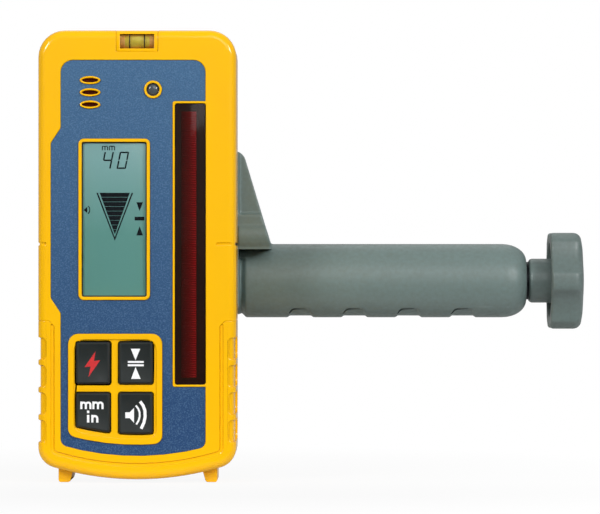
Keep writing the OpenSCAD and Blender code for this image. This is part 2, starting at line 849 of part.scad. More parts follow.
module housing_gasket() color(rubber_black) {
    y_prism(seam_front_y, seam_back_y) difference() {
        union() {
            intersection() {
                polygon(body_outline(slack));
                translate([-body_w, guard_z]) square([2 * body_w, 2 * body_w]);
            }
            polygon(body_outline(guard_t + slack));
        }
        intersection() {
            polygon(body_outline(wall - slack));
            translate([-body_w, guard_z + guard_lap]) square([2 * body_w, 2 * body_w]);
        }
        polygon(body_outline(guard_t + wall - 0.2));
    }
}

module housing_screws() color(steel) {
    head_y = back_y - head_sink;
    for (spot = boss_spots) difference() {
        union() {
            y_rod(spot[0], spot[1], wall_y + 2 * cut, head_y + snug, screw_r);
            y_rod(spot[0], spot[1], head_y, head_y + head_h, screw_head_r);
        }
        for (turn = [0, 90]) translate([spot[0], head_y + head_h, spot[1]]) rotate([0, turn, 0])
            cube([screw_head_r * 1.2, 2 * head_slot_depth, head_slot_w], center = true);
    }
}

module grip_cuts() {
    y0 = front_y + grip_front_gap;
    y1 = back_y - grip_back_gap;
    reach = edge_r + grip_depth + cut;
    for (side = [-1, 1]) for (i = [0:grip_count - 1]) {
        top = guard_z - grip_top_gap - i * grip_pitch;
        x0 = side > 0 ? half_w - reach : -half_w - cut;
        x_prism(x0, x0 + reach + cut) polygon(rounded_rect(y0, top - grip_h, y1, top, grip_r));
    }
}

// Foot under the curved bottom, tapered on its inner side
module foot(side) {
    low = -body_drop - foot_h;
    c = foot_chamfer;
    inner = foot_x - foot_w / 2;
    outer = foot_x + foot_w / 2;
    top = bottom_at(foot_x, guard_t / 2);
    y0 = (front_y + back_y) / 2 + foot_back_shift - foot_l / 2;
    y_prism(y0, y0 + foot_l) polygon([[side * inner, low + c], [side * (inner + c), low],
        [side * (outer - c), low], [side * outer, low + c], [side * outer, top], [side * (inner - foot_draft), top]]);
}

module lower_guard() color(yellow) {
    difference() {
        union() {
            intersection() {
                slab(0);
                below_guard_top();
            }
            foot(-1);
            foot(1);
        }
        guard_core(0.02);
        difference() {
            grip_cuts();
            slab(grip_depth);
        }
        y_prism(front_y - cut, front_y + groove_depth) difference() {
            polygon(body_outline(guard_rim - groove_w));
            polygon(body_outline(guard_rim + cut));
            translate([-body_w, guard_z - groove_w]) square([2 * body_w, 2 * body_w]);
        }
    }
}

module front_label() color(label_blue) {
    y_prism(label_floor_y - label_t, label_floor_y) difference() {
        label_area(-snug);
        lcd_area(lcd_frame + snug, lcd_r + lcd_frame);
        keypad_area(snug);
        sensor_border_area(snug);
        slot_rims(snug);
        translate([strobe_x, strobe_z]) circle(r = strobe_r + strobe_ring + snug);
    }
}

module sensor_window() color("#5a0f14") {
    y_prism(pane_y, front_y + pane_t + snug) sensor_area(0);
}

module strobe_lens() color("#8d9094") {
    dome = 5;
    intersection() {
        y_rod(strobe_x, strobe_z, rim_y - cut, wall_y + snug, strobe_r);
        translate([strobe_x, rim_y + dome - 0.1, strobe_z]) sphere(r = dome);
    }
    y_rod(strobe_x, strobe_z, front_y + pane_t, wall_y + snug, strobe_r);
    y_rod(strobe_x, strobe_z, wall_y + snug, wall_y + snug + 0.8, strobe_r + 0.8);
}

module lcd_window() color("#c8ddd8", 0.4) {
    y_prism(pane_y, pane_y + lcd_pane_t) lcd_area(0);
}

module lcd_panel() color("#86a9a2") {
    y_prism(pane_y + lcd_pane_t, wall_y + snug) lcd_area(-snug);
    y_prism(wall_y + snug, glass_back_y)
        polygon(rounded_rect(lcd_x0 - glass_margin, lcd_z0 - glass_margin, lcd_x1 + glass_margin,
            lcd_z1 + lcd_ledge, lcd_r / 2));
}

module lcd_backlight() color("#e9efe9") {
    y_prism(glass_back_y, board_y)
        polygon(rounded_rect(lcd_x0 - glass_margin, lcd_z0 - glass_margin, lcd_x1 + glass_margin,
            lcd_z1 + backlight_rise, lcd_r / 2));
}

module lcd_connector() color("#3b3b3f") {
    z0 = lcd_z1 + backlight_rise + connector_gap;
    box([lcd_x0 + connector_inset, glass_back_y, z0], [lcd_x1 - connector_inset, board_y, z0 + connector_h]);
}

// Key cap with a soft top edge and the flange that holds it behind the wall
module key(column, row) {
    soft = 0.4;
    hull() {
        y_prism(key_y, key_y + soft) key_area(column, row, -soft);
        y_prism(key_y + soft, wall_y + snug) key_area(column, row, 0);
    }
    y_prism(wall_y + snug, key_back_y) key_area(column, row, key_flange);
}

module key_power() color(key_grey) key(0, 0);

module key_deadband() color(key_grey) key(1, 0);

module key_units() color(key_grey) key(0, 1);

module key_sound() color(key_grey) key(1, 1);

module keypad_mat() color("#4a4c50") {
    y_prism(wall_y + snug, key_back_y - 0.2) difference() {
        keypad_area(-mat_inset);
        for (column = [0, 1]) for (row = [0, 1]) key_area(column, row, key_flange + slack);
    }
}

function key_centre_x(column) = (column == 0 ? key_x0 : key_x1) + key_w / 2;
function key_centre_z(row) = row == 0 ? key_top_z - key_h / 2 : key_row_z - 7.7;

module key_domes() color(steel) {
    for (column = [0, 1]) for (row = [0, 1])
        translate([key_centre_x(column), board_y, key_centre_z(row)]) rotate([90, 0, 0])
            cylinder(h = dome_h, r1 = dome_r, r2 = dome_top_r);
}

module main_board() color(board_green) {
    difference() {
        y_prism(board_y, board_back_y) polygon(rounded_rect(board_x0, board_z0, board_x1, board_z1, 1.5));
        for (spot = board_posts) y_rod(spot[0], spot[1], board_y - cut, board_back_y + cut, post_hole_r + 0.15);
    }
}

module sensor_board() color(board_green) {
    reach = sensor_h / 2 + sensor_board_reach;
    difference() {
        box([board_x1 + sensor_board_gap, board_y, -reach], [sensor_x1 + sensor_board_lap, board_back_y, reach]);
        for (spot = sensor_posts) y_rod(spot[0], spot[1], board_y - cut, board_back_y + cut, post_hole_r + 0.15);
    }
}

module board_screws() color(steel) {
    for (spot = concat(board_posts, sensor_posts)) {
        y_rod(spot[0], spot[1], wall_y - post_depth + 0.3, board_back_y + snug, post_hole_r - 0.05);
        y_rod(spot[0], spot[1], board_back_y, board_back_y + board_screw_head_h, post_hole_r + 0.9);
    }
}

module photodiodes() color("#1d2026") {
    span = sensor_h - diode_margin;
    pitch = span / diode_count;
    middle = (sensor_x0 + sensor_x1) / 2;
    for (i = [0:diode_count - 1]) let (z = -span / 2 + (i + 0.5) * pitch)
        box([middle - diode_w / 2, board_y - diode_h, z - pitch * 0.4],
            [middle + diode_w / 2, board_y, z + pitch * 0.4]);
}

module strobe_diode() color("#33363b") {
    y_rod(strobe_x, strobe_z, wall_y + snug + 0.9, board_y, strobe_r);
}

module buzzer_membrane() color("#d9d4c5") {
    y_rod(slot_x, slot_z, wall_y + snug, wall_y + snug + membrane_t, membrane_r);
}

module buzzer() color("#1c1d20") {
    difference() {
        y_rod(slot_x, slot_z, wall_y + snug + membrane_t, board_y, buzzer_r);
        y_rod(slot_x, slot_z, wall_y, wall_y + snug + 1, buzzer_port_r);
    }
}

module vial_holder() color(yellow) {
    difference() {
        box([-vial_seat_x + snug, front_y + snug, vial_floor_z],
            [vial_seat_x - snug, front_y + vial_insert_d - snug, body_top - snug]);
        x_rod(-vial_l / 2 - snug, vial_l / 2 + snug, vial_y, vial_z, vial_r + 0.05);
        box([-vial_window_w / 2, front_y - cut, vial_z - vial_window_h / 2],
            [vial_window_w / 2, vial_y, vial_z + vial_window_h / 2]);
    }
}

module vial_tube() color("#dfe8c8", 0.4) {
    difference() {
        x_rod(-vial_l / 2, vial_l / 2, vial_y, vial_z, vial_r);
        x_rod(-vial_l / 2 + vial_wall, vial_l / 2 - vial_wall, vial_y, vial_z, vial_r - vial_wall);
    }
}

// The bubble lies at the top of the liquid, between the two rings
module bubble_shape(grow) {
    r = bubble_r + grow;
    translate([0, vial_y, vial_z + vial_r - vial_wall - bubble_r - 2 * snug]) {
        x_rod(-bubble_half, bubble_half, 0, 0, r);
        for (side = [-1, 1]) translate([side * bubble_half, 0, 0]) sphere(r = r);
    }
}

module vial_liquid() color("#b9c63a", 0.6) {
    inner = vial_wall + 0.02;
    difference() {
        x_rod(-vial_l / 2 + inner, vial_l / 2 - inner, vial_y, vial_z, vial_r - inner);
        bubble_shape(0.05);
    }
}

module vial_bubble() color("#f2f6dc", 0.5) {
    bubble_shape(0);
}

module battery_door() color(yellow) {
    difference() {
        union() {
            box([-door_x, back_y - door_t, door_z0], [door_x, back_y, door_z1]);
            for (k = door_knuckles) {
                x_rod(k[0], k[1], hinge_y, hinge_z, knuckle_r);
                box([k[0], back_y - door_t, hinge_z], [k[1], back_y, door_z0 + cut]);
            }
            for (i = [0:2]) let (z = door_z1 - 4.5 - 2 * i)
                box([-rib_l / 2, back_y - snug, z], [rib_l / 2, back_y + rib_proud, z + rib_t]);
        }
        for (k = door_knuckles) x_rod(k[0] - cut, k[1] + cut, hinge_y, hinge_z, hinge_pin_r + 0.05);
        x_rod(-thumb_w / 2, thumb_w / 2, back_y + thumb_r - thumb_depth, door_z1 + 1, thumb_r);
    }
}

module door_hinge_pin() color(steel) {
    x_rod(-pin_end_x, pin_end_x, hinge_y, hinge_z, hinge_pin_r);
}

// One cell, its button up or down
module cell(side) {
    body_l = cell_l - button_l;
    low = side < 0 ? tub_z0 + cell_spring_l : tub_z1 - cell_spring_l - body_l;
    z_rod(side * cell_x, cell_y, low, low + body_l, cell_r);
    z_rod(side * cell_x, cell_y, side < 0 ? low + body_l - snug : low - button_l,
        side < 0 ? low + cell_l : low + snug, button_r);
}

module battery_cells() color("#2b2b2e") {
    cell(-1);
    cell(1);
}

module battery_springs() color(steel) {
    z_rod(-cell_x, cell_y, tub_z0, tub_z0 + cell_spring_l, spring_r);
    z_rod(cell_x, cell_y, tub_z1 - cell_spring_l, tub_z1, spring_r);
}

module battery_contacts() color(brass_gold) {
    h = contact_w / 2;
    box([-cell_x - h, cell_y - h, tub_z1 - contact_t], [-cell_x + h, cell_y + h, tub_z1]);
    box([cell_x - h, cell_y - h, tub_z0], [cell_x + h, cell_y + h, tub_z0 + contact_t]);
}

module mount_insert() color(brass_gold) {
    difference() {
        y_rod(0, mount_z, insert_y - insert_l, insert_y, insert_r - 0.02);
        y_rod(0, mount_z, insert_y - insert_l - cut, insert_y + cut, mount_screw_r + 0.05);
    }
}

module mount_screw() color(steel) {
    top = -mount_head_sink;
    difference() {
        union() {
            y_rod(0, mount_z, top - mount_head_h, top, mount_head_r);
            y_rod(0, mount_z, insert_y - mount_travel + 0.2, top - mount_head_h + snug, mount_screw_r);
        }
        difference() {
            y_rod(0, mount_z, retainer_y - snug, retainer_y + retainer_t + snug, mount_screw_r + cut);
            y_rod(0, mount_z, retainer_y - 1, retainer_y + retainer_t + 1, neck_groove_r);
        }
        box([-mount_head_r - cut, top - coin_slot_depth, mount_z - coin_slot_w / 2],
            [mount_head_r + cut, top + cut, mount_z + coin_slot_w / 2]);
    }
}

module screw_retainer() color(steel) {
    difference() {
        y_rod(0, mount_z, retainer_y, retainer_y + retainer_t, retainer_r);
        y_rod(0, mount_z, retainer_y - cut, retainer_y + retainer_t + cut, neck_groove_r + 0.08);
    }
}

// Right-hand side of the gusset in X and Z
function slant_x(z) =
    gusset_end_x + (gusset_top_x - gusset_end_x) * (z - gusset_foot_z) / (plate_top - gusset_foot_z);

module plate_area() {
    left = fixed_face_x - pad_t - jaw_t;
    foot_x1 = tube_x - slack;
    foot_z1 = gusset_foot_z - 4.3;
    polygon(rounded_path([[left, -plate_drop, 4], [foot_x1, -plate_drop, 1], [foot_x1, foot_z1, 0],
        [gusset_end_x, foot_z1, 0], [gusset_end_x, gusset_foot_z, 0], [gusset_top_x, plate_top, gusset_top_r],
        [left + plate_slant_x, plate_top, plate_corner_r], [left, plate_top - plate_slant_z, plate_corner_r]]));
}

module left_of_slant() {
    y_prism(front_y, jaw_reach + cut) polygon([[root_x - cut, -plate_drop - 8], [gusset_end_x, -plate_drop - 8],
        [gusset_end_x, gusset_foot_z], [slant_x(plate_top), plate_top], [root_x - cut, plate_top]]);
}

// Full round handle with a slanted start and a rounded nose
module handle_solid() {
    start = tube_x - tube_lap;
    nose = [for (i = [0:corner_steps]) let (a = 90 * i / corner_steps)
        [tube_nose_flat + (tube_r - tube_nose_flat) * cos(a), tube_l + tube_lap - tube_nose_l * (1 - sin(a))]];
    translate([start, axis_y, axis_z]) rotate([0, 90, 0]) rotate_extrude()
        polygon(concat([[0, 0], [tube_r - tube_chamfer, 0], [tube_r, tube_chamfer]], nose, [[0, tube_l + tube_lap]]));
}

module finger_pockets() {
    for (i = [0:finger_count - 1]) let (x = finger_x + i * finger_pitch)
        difference() {
            y_prism(axis_y - tube_r - cut, axis_y + tube_r + cut) polygon([[x, axis_z - tube_r - cut],
                [x + 2, finger_top_z], [x + finger_l - 2, finger_top_z], [x + finger_l, axis_z - tube_r - cut]]);
            x_rod(x - cut, x + finger_l + cut, axis_y, axis_z, tube_r - finger_depth);
        }
}

// Thickened root that joins the plate and the gusset to the handle
module handle_root() {
    intersection() {
        x_prism(tube_x - tube_lap, gusset_end_x + cut) union() {
            translate([bulge_y, bulge_z]) circle(r = bulge_r);
            polygon([[bulge_y, bulge_z + bulge_r], [axis_y, bulge_z + 1], [axis_y, axis_z + 4],
                [bulge_y, bulge_z - bulge_r]]);
        }
        left_of_slant();
    }
    x_prism(root_x, tube_x) {
        polygon([[back_y, -plate_drop], [axis_y, -plate_drop - 2], [axis_y, bulge_z + 1],
            [back_y, bulge_z + bulge_r]]);
        translate([axis_y, axis_z]) circle(r = tube_r - 1.2);
    }
}

module fixed_jaw() {
    brace_z = plate_top - 12;
    x_prism(fixed_face_x - pad_t - jaw_t, fixed_face_x - pad_t) polygon(rounded_path([[back_y, -plate_drop, 0],
        [jaw_reach, -plate_drop, 5], [jaw_reach, fixed_jaw_top_z + 2, 6], [6, fixed_jaw_top_z + 5, 4],
        [plate_face_y - snug, brace_z, 0], [back_y, brace_z, 0]]));
}

module clamp_frame() color(clamp_grey) {
    difference() {
        union() {
            difference() {
                y_prism(back_y, plate_face_y) plate_area();
                box([tube_x - snug, back_y - cut, fin_step_z], [gusset_end_x + cut, fin_front_y, plate_top + cut]);
            }
            y_prism(plate_face_y - snug, 0)
                polygon(rounded_rect(fixed_face_x + seat_inset, -plate_drop + 2 * seat_inset,
                    moving_face_x - seat_inset, plate_top - plate_corner_r, 2 * seat_inset));
            fixed_jaw();
            handle_root();
            handle_solid();
            for (side = [-1, 1]) locating_cone(side, 0);
        }
        finger_pockets();
        x_rod(root_x - cut, bore_end_x, axis_y, axis_z, bore_r);
        box([root_x - cut, axis_y - key_rib_w / 2 - slack, axis_z],
            [bore_end_x, axis_y + key_rib_w / 2 + slack, axis_z + bore_r + key_rib_h]);
        x_rod(bore_end_x - cut, tube_end_x + cut, axis_y, axis_z, clamp_screw_r + run_gap);
        y_rod(0, mount_z, mount_web_y, cut, mount_head_r + 0.4);
        y_rod(0, mount_z, back_y - cut, mount_web_y + cut, mount_screw_r + slack);
    }
}

// Rubber pad with upright grooves, its face at face_x and its back on the jaw
module jaw_pad(face_x, back_x, z0, z1) {
    depth = pad_groove_depth;
    w = pad_groove_w;
    y0 = pad_margin + snug;
    y1 = jaw_reach - pad_margin - 0.5;
    span = y1 - y0;
    difference() {
        x_prism(min(face_x, back_x), max(face_x, back_x)) polygon(rounded_rect(y0, z0, y1, z1, 2));
        for (i = [1:pad_groove_count]) let (y = y0 + span * (i - 0.5) / pad_groove_count)
            box([face_x - depth, y - w / 2, z0 - cut], [face_x + depth, y + w / 2, z1 + cut]);
    }
}

module fixed_jaw_pad() color(rubber_black) {
    jaw_pad(fixed_face_x, fixed_face_x - pad_t, -plate_drop + pad_margin, fixed_jaw_top_z);
}

module travelling_jaw_pad() color(rubber_black) {
    jaw_pad(moving_face_x, head_x, jaw_z0 + pad_margin, jaw_z1 - pad_margin);
}

module travelling_jaw() color(clamp_grey) {
    difference() {
        union() {
            x_prism(head_x, head_end_x) polygon(rounded_path([[jaw_gap_y, jaw_z0, 2], [jaw_reach, jaw_z0, 5],
                [jaw_reach, jaw_z1, 6], [jaw_gap_y, jaw_z1, 2]]));
            x_rod(head_end_x - snug, shank_end_x, axis_y, axis_z, shank_r);
            box([head_end_x - snug, axis_y - key_rib_w / 2, axis_z],
                [shank_end_x, axis_y + key_rib_w / 2, axis_z + shank_r + key_rib_h - slack]);
        }
        x_rod(screw_room_x, shank_end_x, axis_y, axis_z, clamp_screw_r + 1);
        x_rod(shank_end_x - nut_l, shank_end_x + cut, axis_y, axis_z, nut_r + 0.02);
    }
}

module jaw_nut() color(brass_gold) {
    difference() {
        x_rod(shank_end_x - nut_l, shank_end_x, axis_y, axis_z, nut_r);
        x_rod(shank_end_x - nut_l - cut, shank_end_x + cut, axis_y, axis_z, clamp_screw_r + run_gap);
    }
}

module clamp_screw() color(steel) {
    difference() {
        x_rod(screw_x0, screw_end_x, axis_y, axis_z, clamp_screw_r);
        z_rod(bore_end_x - collar_l / 2, axis_y, axis_z - collar_r, axis_z + collar_r, collar_pin_r);
        x_rod(screw_end_x - knob_screw_l - 1, screw_end_x + cut, axis_y, axis_z, knob_screw_r + 0.02);
    }
}

module thrust_collar() color(steel) {
    difference() {
        x_rod(bore_end_x - collar_l, bore_end_x, axis_y, axis_z, collar_r);
        x_rod(bore_end_x - collar_l - cut, bore_end_x + cut, axis_y, axis_z, clamp_screw_r + 0.02);
        z_rod(bore_end_x - collar_l / 2, axis_y, axis_z - collar_r - cut, axis_z + collar_r + cut, collar_pin_r);
    }
}

module collar_pin() color(steel) {
    reach = collar_r - 0.4;
    z_rod(bore_end_x - collar_l / 2, axis_y, axis_z - reach, axis_z + reach, collar_pin_r - 0.02);
}

module thrust_washer() color(steel) {
    difference() {
        x_rod(tube_end_x, tube_end_x + washer_t, axis_y, axis_z, washer_r);
        x_rod(tube_end_x - cut, neck_x + cut, axis_y, axis_z, clamp_screw_r + 0.3);
    }
}

// Lobed outline of the knob, one lobe towards the front
module knob_area() {
    difference() {
        circle(r = knob_r);
        for (i = [0:lobe_count - 1]) rotate(360 * (i + 0.5) / lobe_count)
            translate([knob_r - flute_depth + flute_r, 0]) circle(r = flute_r);
    }
}

// Round profile that the lobed outline is cut down to: radius against distance from the inner rim
module knob_profile() {
    r0 = knob_inner_r;
    r1 = knob_outer_r;
    polygon(concat([[0, 0], [knob_r - r0, 0]], arc([knob_r - r0, r0], r0, 270, 360, 4),
        arc([knob_r - r1, knob_t - knob_dome - r1], r1, 0, 80, corner_steps),
        [[knob_r * 0.5, knob_t - knob_dome * 0.4], [cap_r, knob_t], [0, knob_t]]));
}

module clamp_knob() color(clamp_grey) {
    difference() {
        union() {
            intersection() {
                x_prism(knob_x, knob_end_x + cut) translate([axis_y, axis_z]) knob_area();
                translate([knob_x, axis_y, axis_z]) rotate([0, 90, 0]) rotate_extrude() knob_profile();
            }
            translate([neck_x, axis_y, axis_z]) rotate([0, 90, 0]) rotate_extrude()
                polygon(concat([[0, 0]], arc([neck_r - neck_round, neck_round], neck_round, 270, 360, 5),
                    [[neck_r, neck_l + cut], [0, neck_l + cut]]));
        }
        difference() {
            x_rod(knob_x - cut, knob_end_x - knob_web_t, axis_y, axis_z, knob_r - flute_depth - knob_wall);
            x_rod(knob_x - 2 * cut, knob_end_x, axis_y, axis_z, neck_r);
        }
        x_rod(neck_x - cut, screw_end_x + 0.05, axis_y, axis_z, clamp_screw_r + 0.02);
        x_rod(screw_end_x, knob_end_x - cap_t, axis_y, axis_z, knob_screw_r + 0.3);
        x_rod(knob_end_x - cap_t - knob_screw_head_h, knob_end_x + cut, axis_y, axis_z, knob_screw_head_r + slack);
        x_rod(knob_end_x - cap_t, knob_end_x + cut, axis_y, axis_z, cap_r + 0.05);
    }
}

module knob_screw() color(steel) {
    head_x0 = knob_end_x - cap_t - knob_screw_head_h;
    x_rod(screw_end_x - knob_screw_l, head_x0 + snug, axis_y, axis_z, knob_screw_r);
    difference() {
        x_rod(head_x0, head_x0 + knob_screw_head_h - 0.2, axis_y, axis_z, knob_screw_head_r);
        x_rod(head_x0 + cut, head_x0 + knob_screw_head_h, axis_y, axis_z, knob_socket_r);
    }
}

module knob_cap() color(clamp_grey) {
    x_rod(knob_end_x - cap_t, knob_end_x, axis_y, axis_z, cap_r);
}

front_housing();
rear_housing();
housing_gasket();
housing_screws();
lower_guard();
front_label();
sensor_window();
strobe_lens();
lcd_window();
lcd_panel();
lcd_backlight();
lcd_connector();
key_power();
key_deadband();
key_units();
key_sound();
keypad_mat();
key_domes();
main_board();
sensor_board();
board_screws();
photodiodes();
strobe_diode();
buzzer();
buzzer_membrane();
vial_holder();
vial_tube();
vial_liquid();
vial_bubble();
battery_door();
door_hinge_pin();
battery_cells();
battery_springs();
battery_contacts();
mount_insert();
mount_screw();
screw_retainer();
clamp_frame();
fixed_jaw_pad();
travelling_jaw();
travelling_jaw_pad();
jaw_nut();
clamp_screw();
thrust_collar();
collar_pin();
thrust_washer();
clamp_knob();
knob_screw();
knob_cap();
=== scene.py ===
"""Looks of a laser receiver on its rod clamp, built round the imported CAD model."""
import logging
import math
from dataclasses import dataclass
from enum import Enum
from typing import Any, Iterable, Sequence

import bmesh
import bpy
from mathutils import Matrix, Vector


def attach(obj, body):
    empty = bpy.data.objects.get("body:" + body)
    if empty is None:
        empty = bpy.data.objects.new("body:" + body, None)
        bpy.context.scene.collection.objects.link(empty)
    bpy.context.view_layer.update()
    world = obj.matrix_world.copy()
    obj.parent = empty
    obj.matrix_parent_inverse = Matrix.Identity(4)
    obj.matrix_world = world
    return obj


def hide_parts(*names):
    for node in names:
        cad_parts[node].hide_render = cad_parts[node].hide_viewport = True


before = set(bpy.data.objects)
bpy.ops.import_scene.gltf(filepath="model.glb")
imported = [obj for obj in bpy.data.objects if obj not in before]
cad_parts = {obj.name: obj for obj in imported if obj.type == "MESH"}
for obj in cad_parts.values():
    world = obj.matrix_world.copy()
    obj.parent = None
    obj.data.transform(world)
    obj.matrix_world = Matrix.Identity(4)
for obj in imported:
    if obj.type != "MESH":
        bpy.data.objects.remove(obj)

MM = 0.001
PHOTO_SCALE = 0.383  # millimetres at the receiver's front for each pixel of the photograph
PHOTO_COLUMN, PHOTO_ROW = 137, 244  # where X and Z are 0 in the photograph
CLAMP_Y, CLAMP_Z = 12.0, -14.4  # the axis of handle, screw and knob, as in the CAD model
CELL_X, CELL_Y = 7.9, -18.9  # the cells' axes, one at each side of the middle
Point = tuple[float, float]
Place = tuple[float, float, float]
Drawing = tuple[Point, ...]
log = logging.getLogger("receiver")


# Colours and nodes

def linear(hex_code: str) -> tuple[float, float, float, float]:
    """Turns an sRGB hex value into linear colour.

    Args:
        hex_code: the colour, such as "#f6b90c".
    Returns:
        Linear red, green and blue, with an alpha of 1.
    """
    values = [int(hex_code[i:i + 2], 16) / 255 for i in (1, 3, 5)]
    return (*(v / 12.92 if v <= 0.04045 else ((v + 0.055) / 1.055) ** 2.4 for v in values), 1.0)


def add_node(tree: bpy.types.NodeTree, kind: str, links: dict[str, Any] | None = None,
             **settings: Any) -> Any:
    """Adds one node with its settings, input values and links.

    Args:
        tree: the node tree that gets the node.
        kind: the node's type, without its "ShaderNode" prefix.
        links: for each input name, or "#n" for the nth input, a socket to link or a value to set.
        settings: properties of the node itself.
    Returns:
        The node.
    """
    node = tree.nodes.new("ShaderNode" + kind)
    for key, value in settings.items():
        setattr(node, key, value)
    for name, value in (links or {}).items():
        socket = node.inputs[int(name[1:])] if name.startswith("#") else node.inputs[name]
        if isinstance(value, bpy.types.NodeSocket):
            tree.links.new(value, socket)
        else:
            socket.default_value = value
    return node


def empty_tree(owner: bpy.types.Material | bpy.types.World) -> bpy.types.NodeTree:
    """Empties the node tree of a material or a world.

    Args:
        owner: the material or world.
    Returns:
        Its tree.
    """
    owner.use_nodes = True
    owner.node_tree.nodes.clear()
    return owner.node_tree


CLOUD = (0.3, 0.7)  # the range that holds nearly all values of a soft noise
RUBBED = (0.52, 0.62)  # how far an edge stands out where its wear begins and where it is full
COAT_ROUGHNESS = 0.12
LEAST_ROUGHNESS = 0.02
WHITE = linear("#ffffff")


@dataclass(frozen=True)
class Finish:
    """A surface: what it is made of, how it was made, and the detail that shows.

    The pattern sizes are in millimetres, as they are drawn.
    """

    name: str
    color: str
    roughness: float = 0.5
    ior: float = 1.5
    metallic: float = 0.0
    alpha: float = 1.0
    coat: float = 0.0
    shade: str = ""
    shade_mm: float = 6.0
    shade_spread: float = 0.5
    grain_mm: float = 0.0
    grain_depth: float = 0.0
    gloss_change: float = 0.06
    edge: str = ""
    edge_share: float = 0.5
    stretch: Place = (1.0, 1.0, 1.0)

    def build(self) -> bpy.types.Material:
        """Returns the material, made once."""
        made = bpy.data.materials.get(self.name)
        return made if made else self.make()

    def start(self) -> tuple[bpy.types.Material, bpy.types.NodeTree, Any, Any]:
        """Makes an empty material with its shader.

        Returns:
            The material, its tree, the shader and the object-space coordinates in millimetres.
        """
        material = bpy.data.materials.new(self.name)
        tree = empty_tree(material)
        shader = add_node(tree, "BsdfPrincipled", {
            "Base Color": linear(self.color), "Roughness": self.roughness, "Metallic": self.metallic,
            "Alpha": self.alpha, "Coat Weight": self.coat, "Coat Roughness": COAT_ROUGHNESS})
        if self.metallic < 0.5:
            shader.inputs["IOR"].default_value = self.ior
        add_node(tree, "OutputMaterial", {"Surface": shader.outputs[0]})
        coords = add_node(tree, "TexCoord")
        scale = tuple(1 / MM * s for s in self.stretch)
        place = add_node(tree, "Mapping", {"Vector": coords.outputs["Object"], "Scale": scale})
        return material, tree, shader, place.outputs[0]

    def make(self) -> bpy.types.Material:
        """Makes the material: a soft change of shade and gloss, a fine grain and worn edges.

        Returns:
            The material.
        """
        material, tree, shader, place = self.start()
        patch = add_node(tree, "TexNoise", {"Vector": place, "Scale": 1 / self.shade_mm, "Detail": 3.0})
        color = self.worn(tree, self.shaded(tree, patch.outputs["Fac"]))
        tree.links.new(color, shader.inputs["Base Color"])
        gloss = add_node(tree, "MapRange", {
            "Value": patch.outputs["Fac"], "From Min": CLOUD[0], "From Max": CLOUD[1],
            "To Min": max(self.roughness - self.gloss_change, LEAST_ROUGHNESS),
            "To Max": self.roughness + self.gloss_change})
        tree.links.new(gloss.outputs[0], shader.inputs["Roughness"])
        if self.grain_mm > 0:
            self.grained(tree, shader, place)
        return material

    def grained(self, tree: bpy.types.NodeTree, shader: Any, place: Any) -> None:
        """Adds the fine grain as a relief.

        Args:
            tree: the material's tree.
            shader: the shader that gets it.
            place: the coordinates in millimetres.
        """
        grain = add_node(tree, "TexNoise", {"Vector": place, "Scale": 1 / self.grain_mm, "Detail": 2.0})
        bump = add_node(tree, "Bump", {"Height": grain.outputs["Fac"], "Distance": self.grain_depth * MM})
        tree.links.new(bump.outputs[0], shader.inputs["Normal"])

    def shaded(self, tree: bpy.types.NodeTree, mask: Any) -> Any:
        """Mixes the main colour with its second shade.

        Args:
            tree: the material's tree.
            mask: a value from 0 to 1 that says where the second shade lies.
        Returns:
            The mixed colour's socket.
        """
        low, high = 0.5 - self.shade_spread / 2, 0.5 + self.shade_spread / 2
        part = add_node(tree, "MapRange", {"Value": mask, "From Min": low, "From Max": high})
        mix = add_node(tree, "Mix", {"#0": part.outputs[0], "#6": linear(self.color),
                                     "#7": linear(self.shade or self.color)}, data_type="RGBA")
        return mix.outputs[2]

    def worn(self, tree: bpy.types.NodeTree, color: Any) -> Any:
        """Lightens the outer edges, where handling rubs them.

        Args:
            tree: the material's tree.
            color: the colour so far.
        Returns:
            The colour with worn edges, or the same colour if the finish has none.
        """
        if not self.edge:
            return color
        point = add_node(tree, "NewGeometry")
        rub = add_node(tree, "MapRange", {"Value": point.outputs["Pointiness"], "From Min": RUBBED[0],
                                          "From Max": RUBBED[1], "To Max": self.edge_share})
        mix = add_node(tree, "Mix", {"#0": rub.outputs[0], "#6": color, "#7": linear(self.edge)},
                       data_type="RGBA")
        return mix.outputs[2]


class Alloy(Enum):
    """Metals of the small hardware, with their usual reflected colour."""

    ZINC_STEEL = "#c9cbce"
    BRASS = "#d8b36a"
    SPRING_STEEL = "#b4b7bb"


@dataclass(frozen=True)
class PlatedMetal(Finish):
    """Turned or stamped metal: fine machining marks run round or along it."""

    metallic: float = 1.0
    roughness: float = 0.34
    grain_mm: float = 0.5
    grain_depth: float = 0.01
    gloss_change: float = 0.12
    stretch: Place = (1.0, 0.12, 1.0)


@dataclass(frozen=True)
class FadedFilm(Finish):
    """A film or moulding whose tone changes evenly along one axis."""

    low_color: str = "#3a7a6f"
    axis: str = "Z"
    high: float = 39.0
    low: float = -20.0

    def make(self) -> bpy.types.Material:
        """Makes the material with its change of tone between two levels.

        Returns:
            The material.
        """
        material, tree, shader, place = self.start()
        tree.links.new(self.faded(tree, place), shader.inputs["Base Color"])
        return material

    def faded(self, tree: bpy.types.NodeTree, place: Any) -> Any:
        """Fades from the colour at the low level to the main colour.

        Args:
            tree: the material's tree.
            place: the coordinates in millimetres.
        Returns:
            The colour's socket.
        """
        split = add_node(tree, "SeparateXYZ", {"Vector": place})
        fade = add_node(tree, "MapRange", {"Value": split.outputs[self.axis], "From Min": self.low,
                                           "From Max": self.high})
        mix = add_node(tree, "Mix", {"#0": fade.outputs[0], "#6": linear(self.low_color),
                                     "#7": linear(self.color)}, data_type="RGBA")
        return mix.outputs[2]


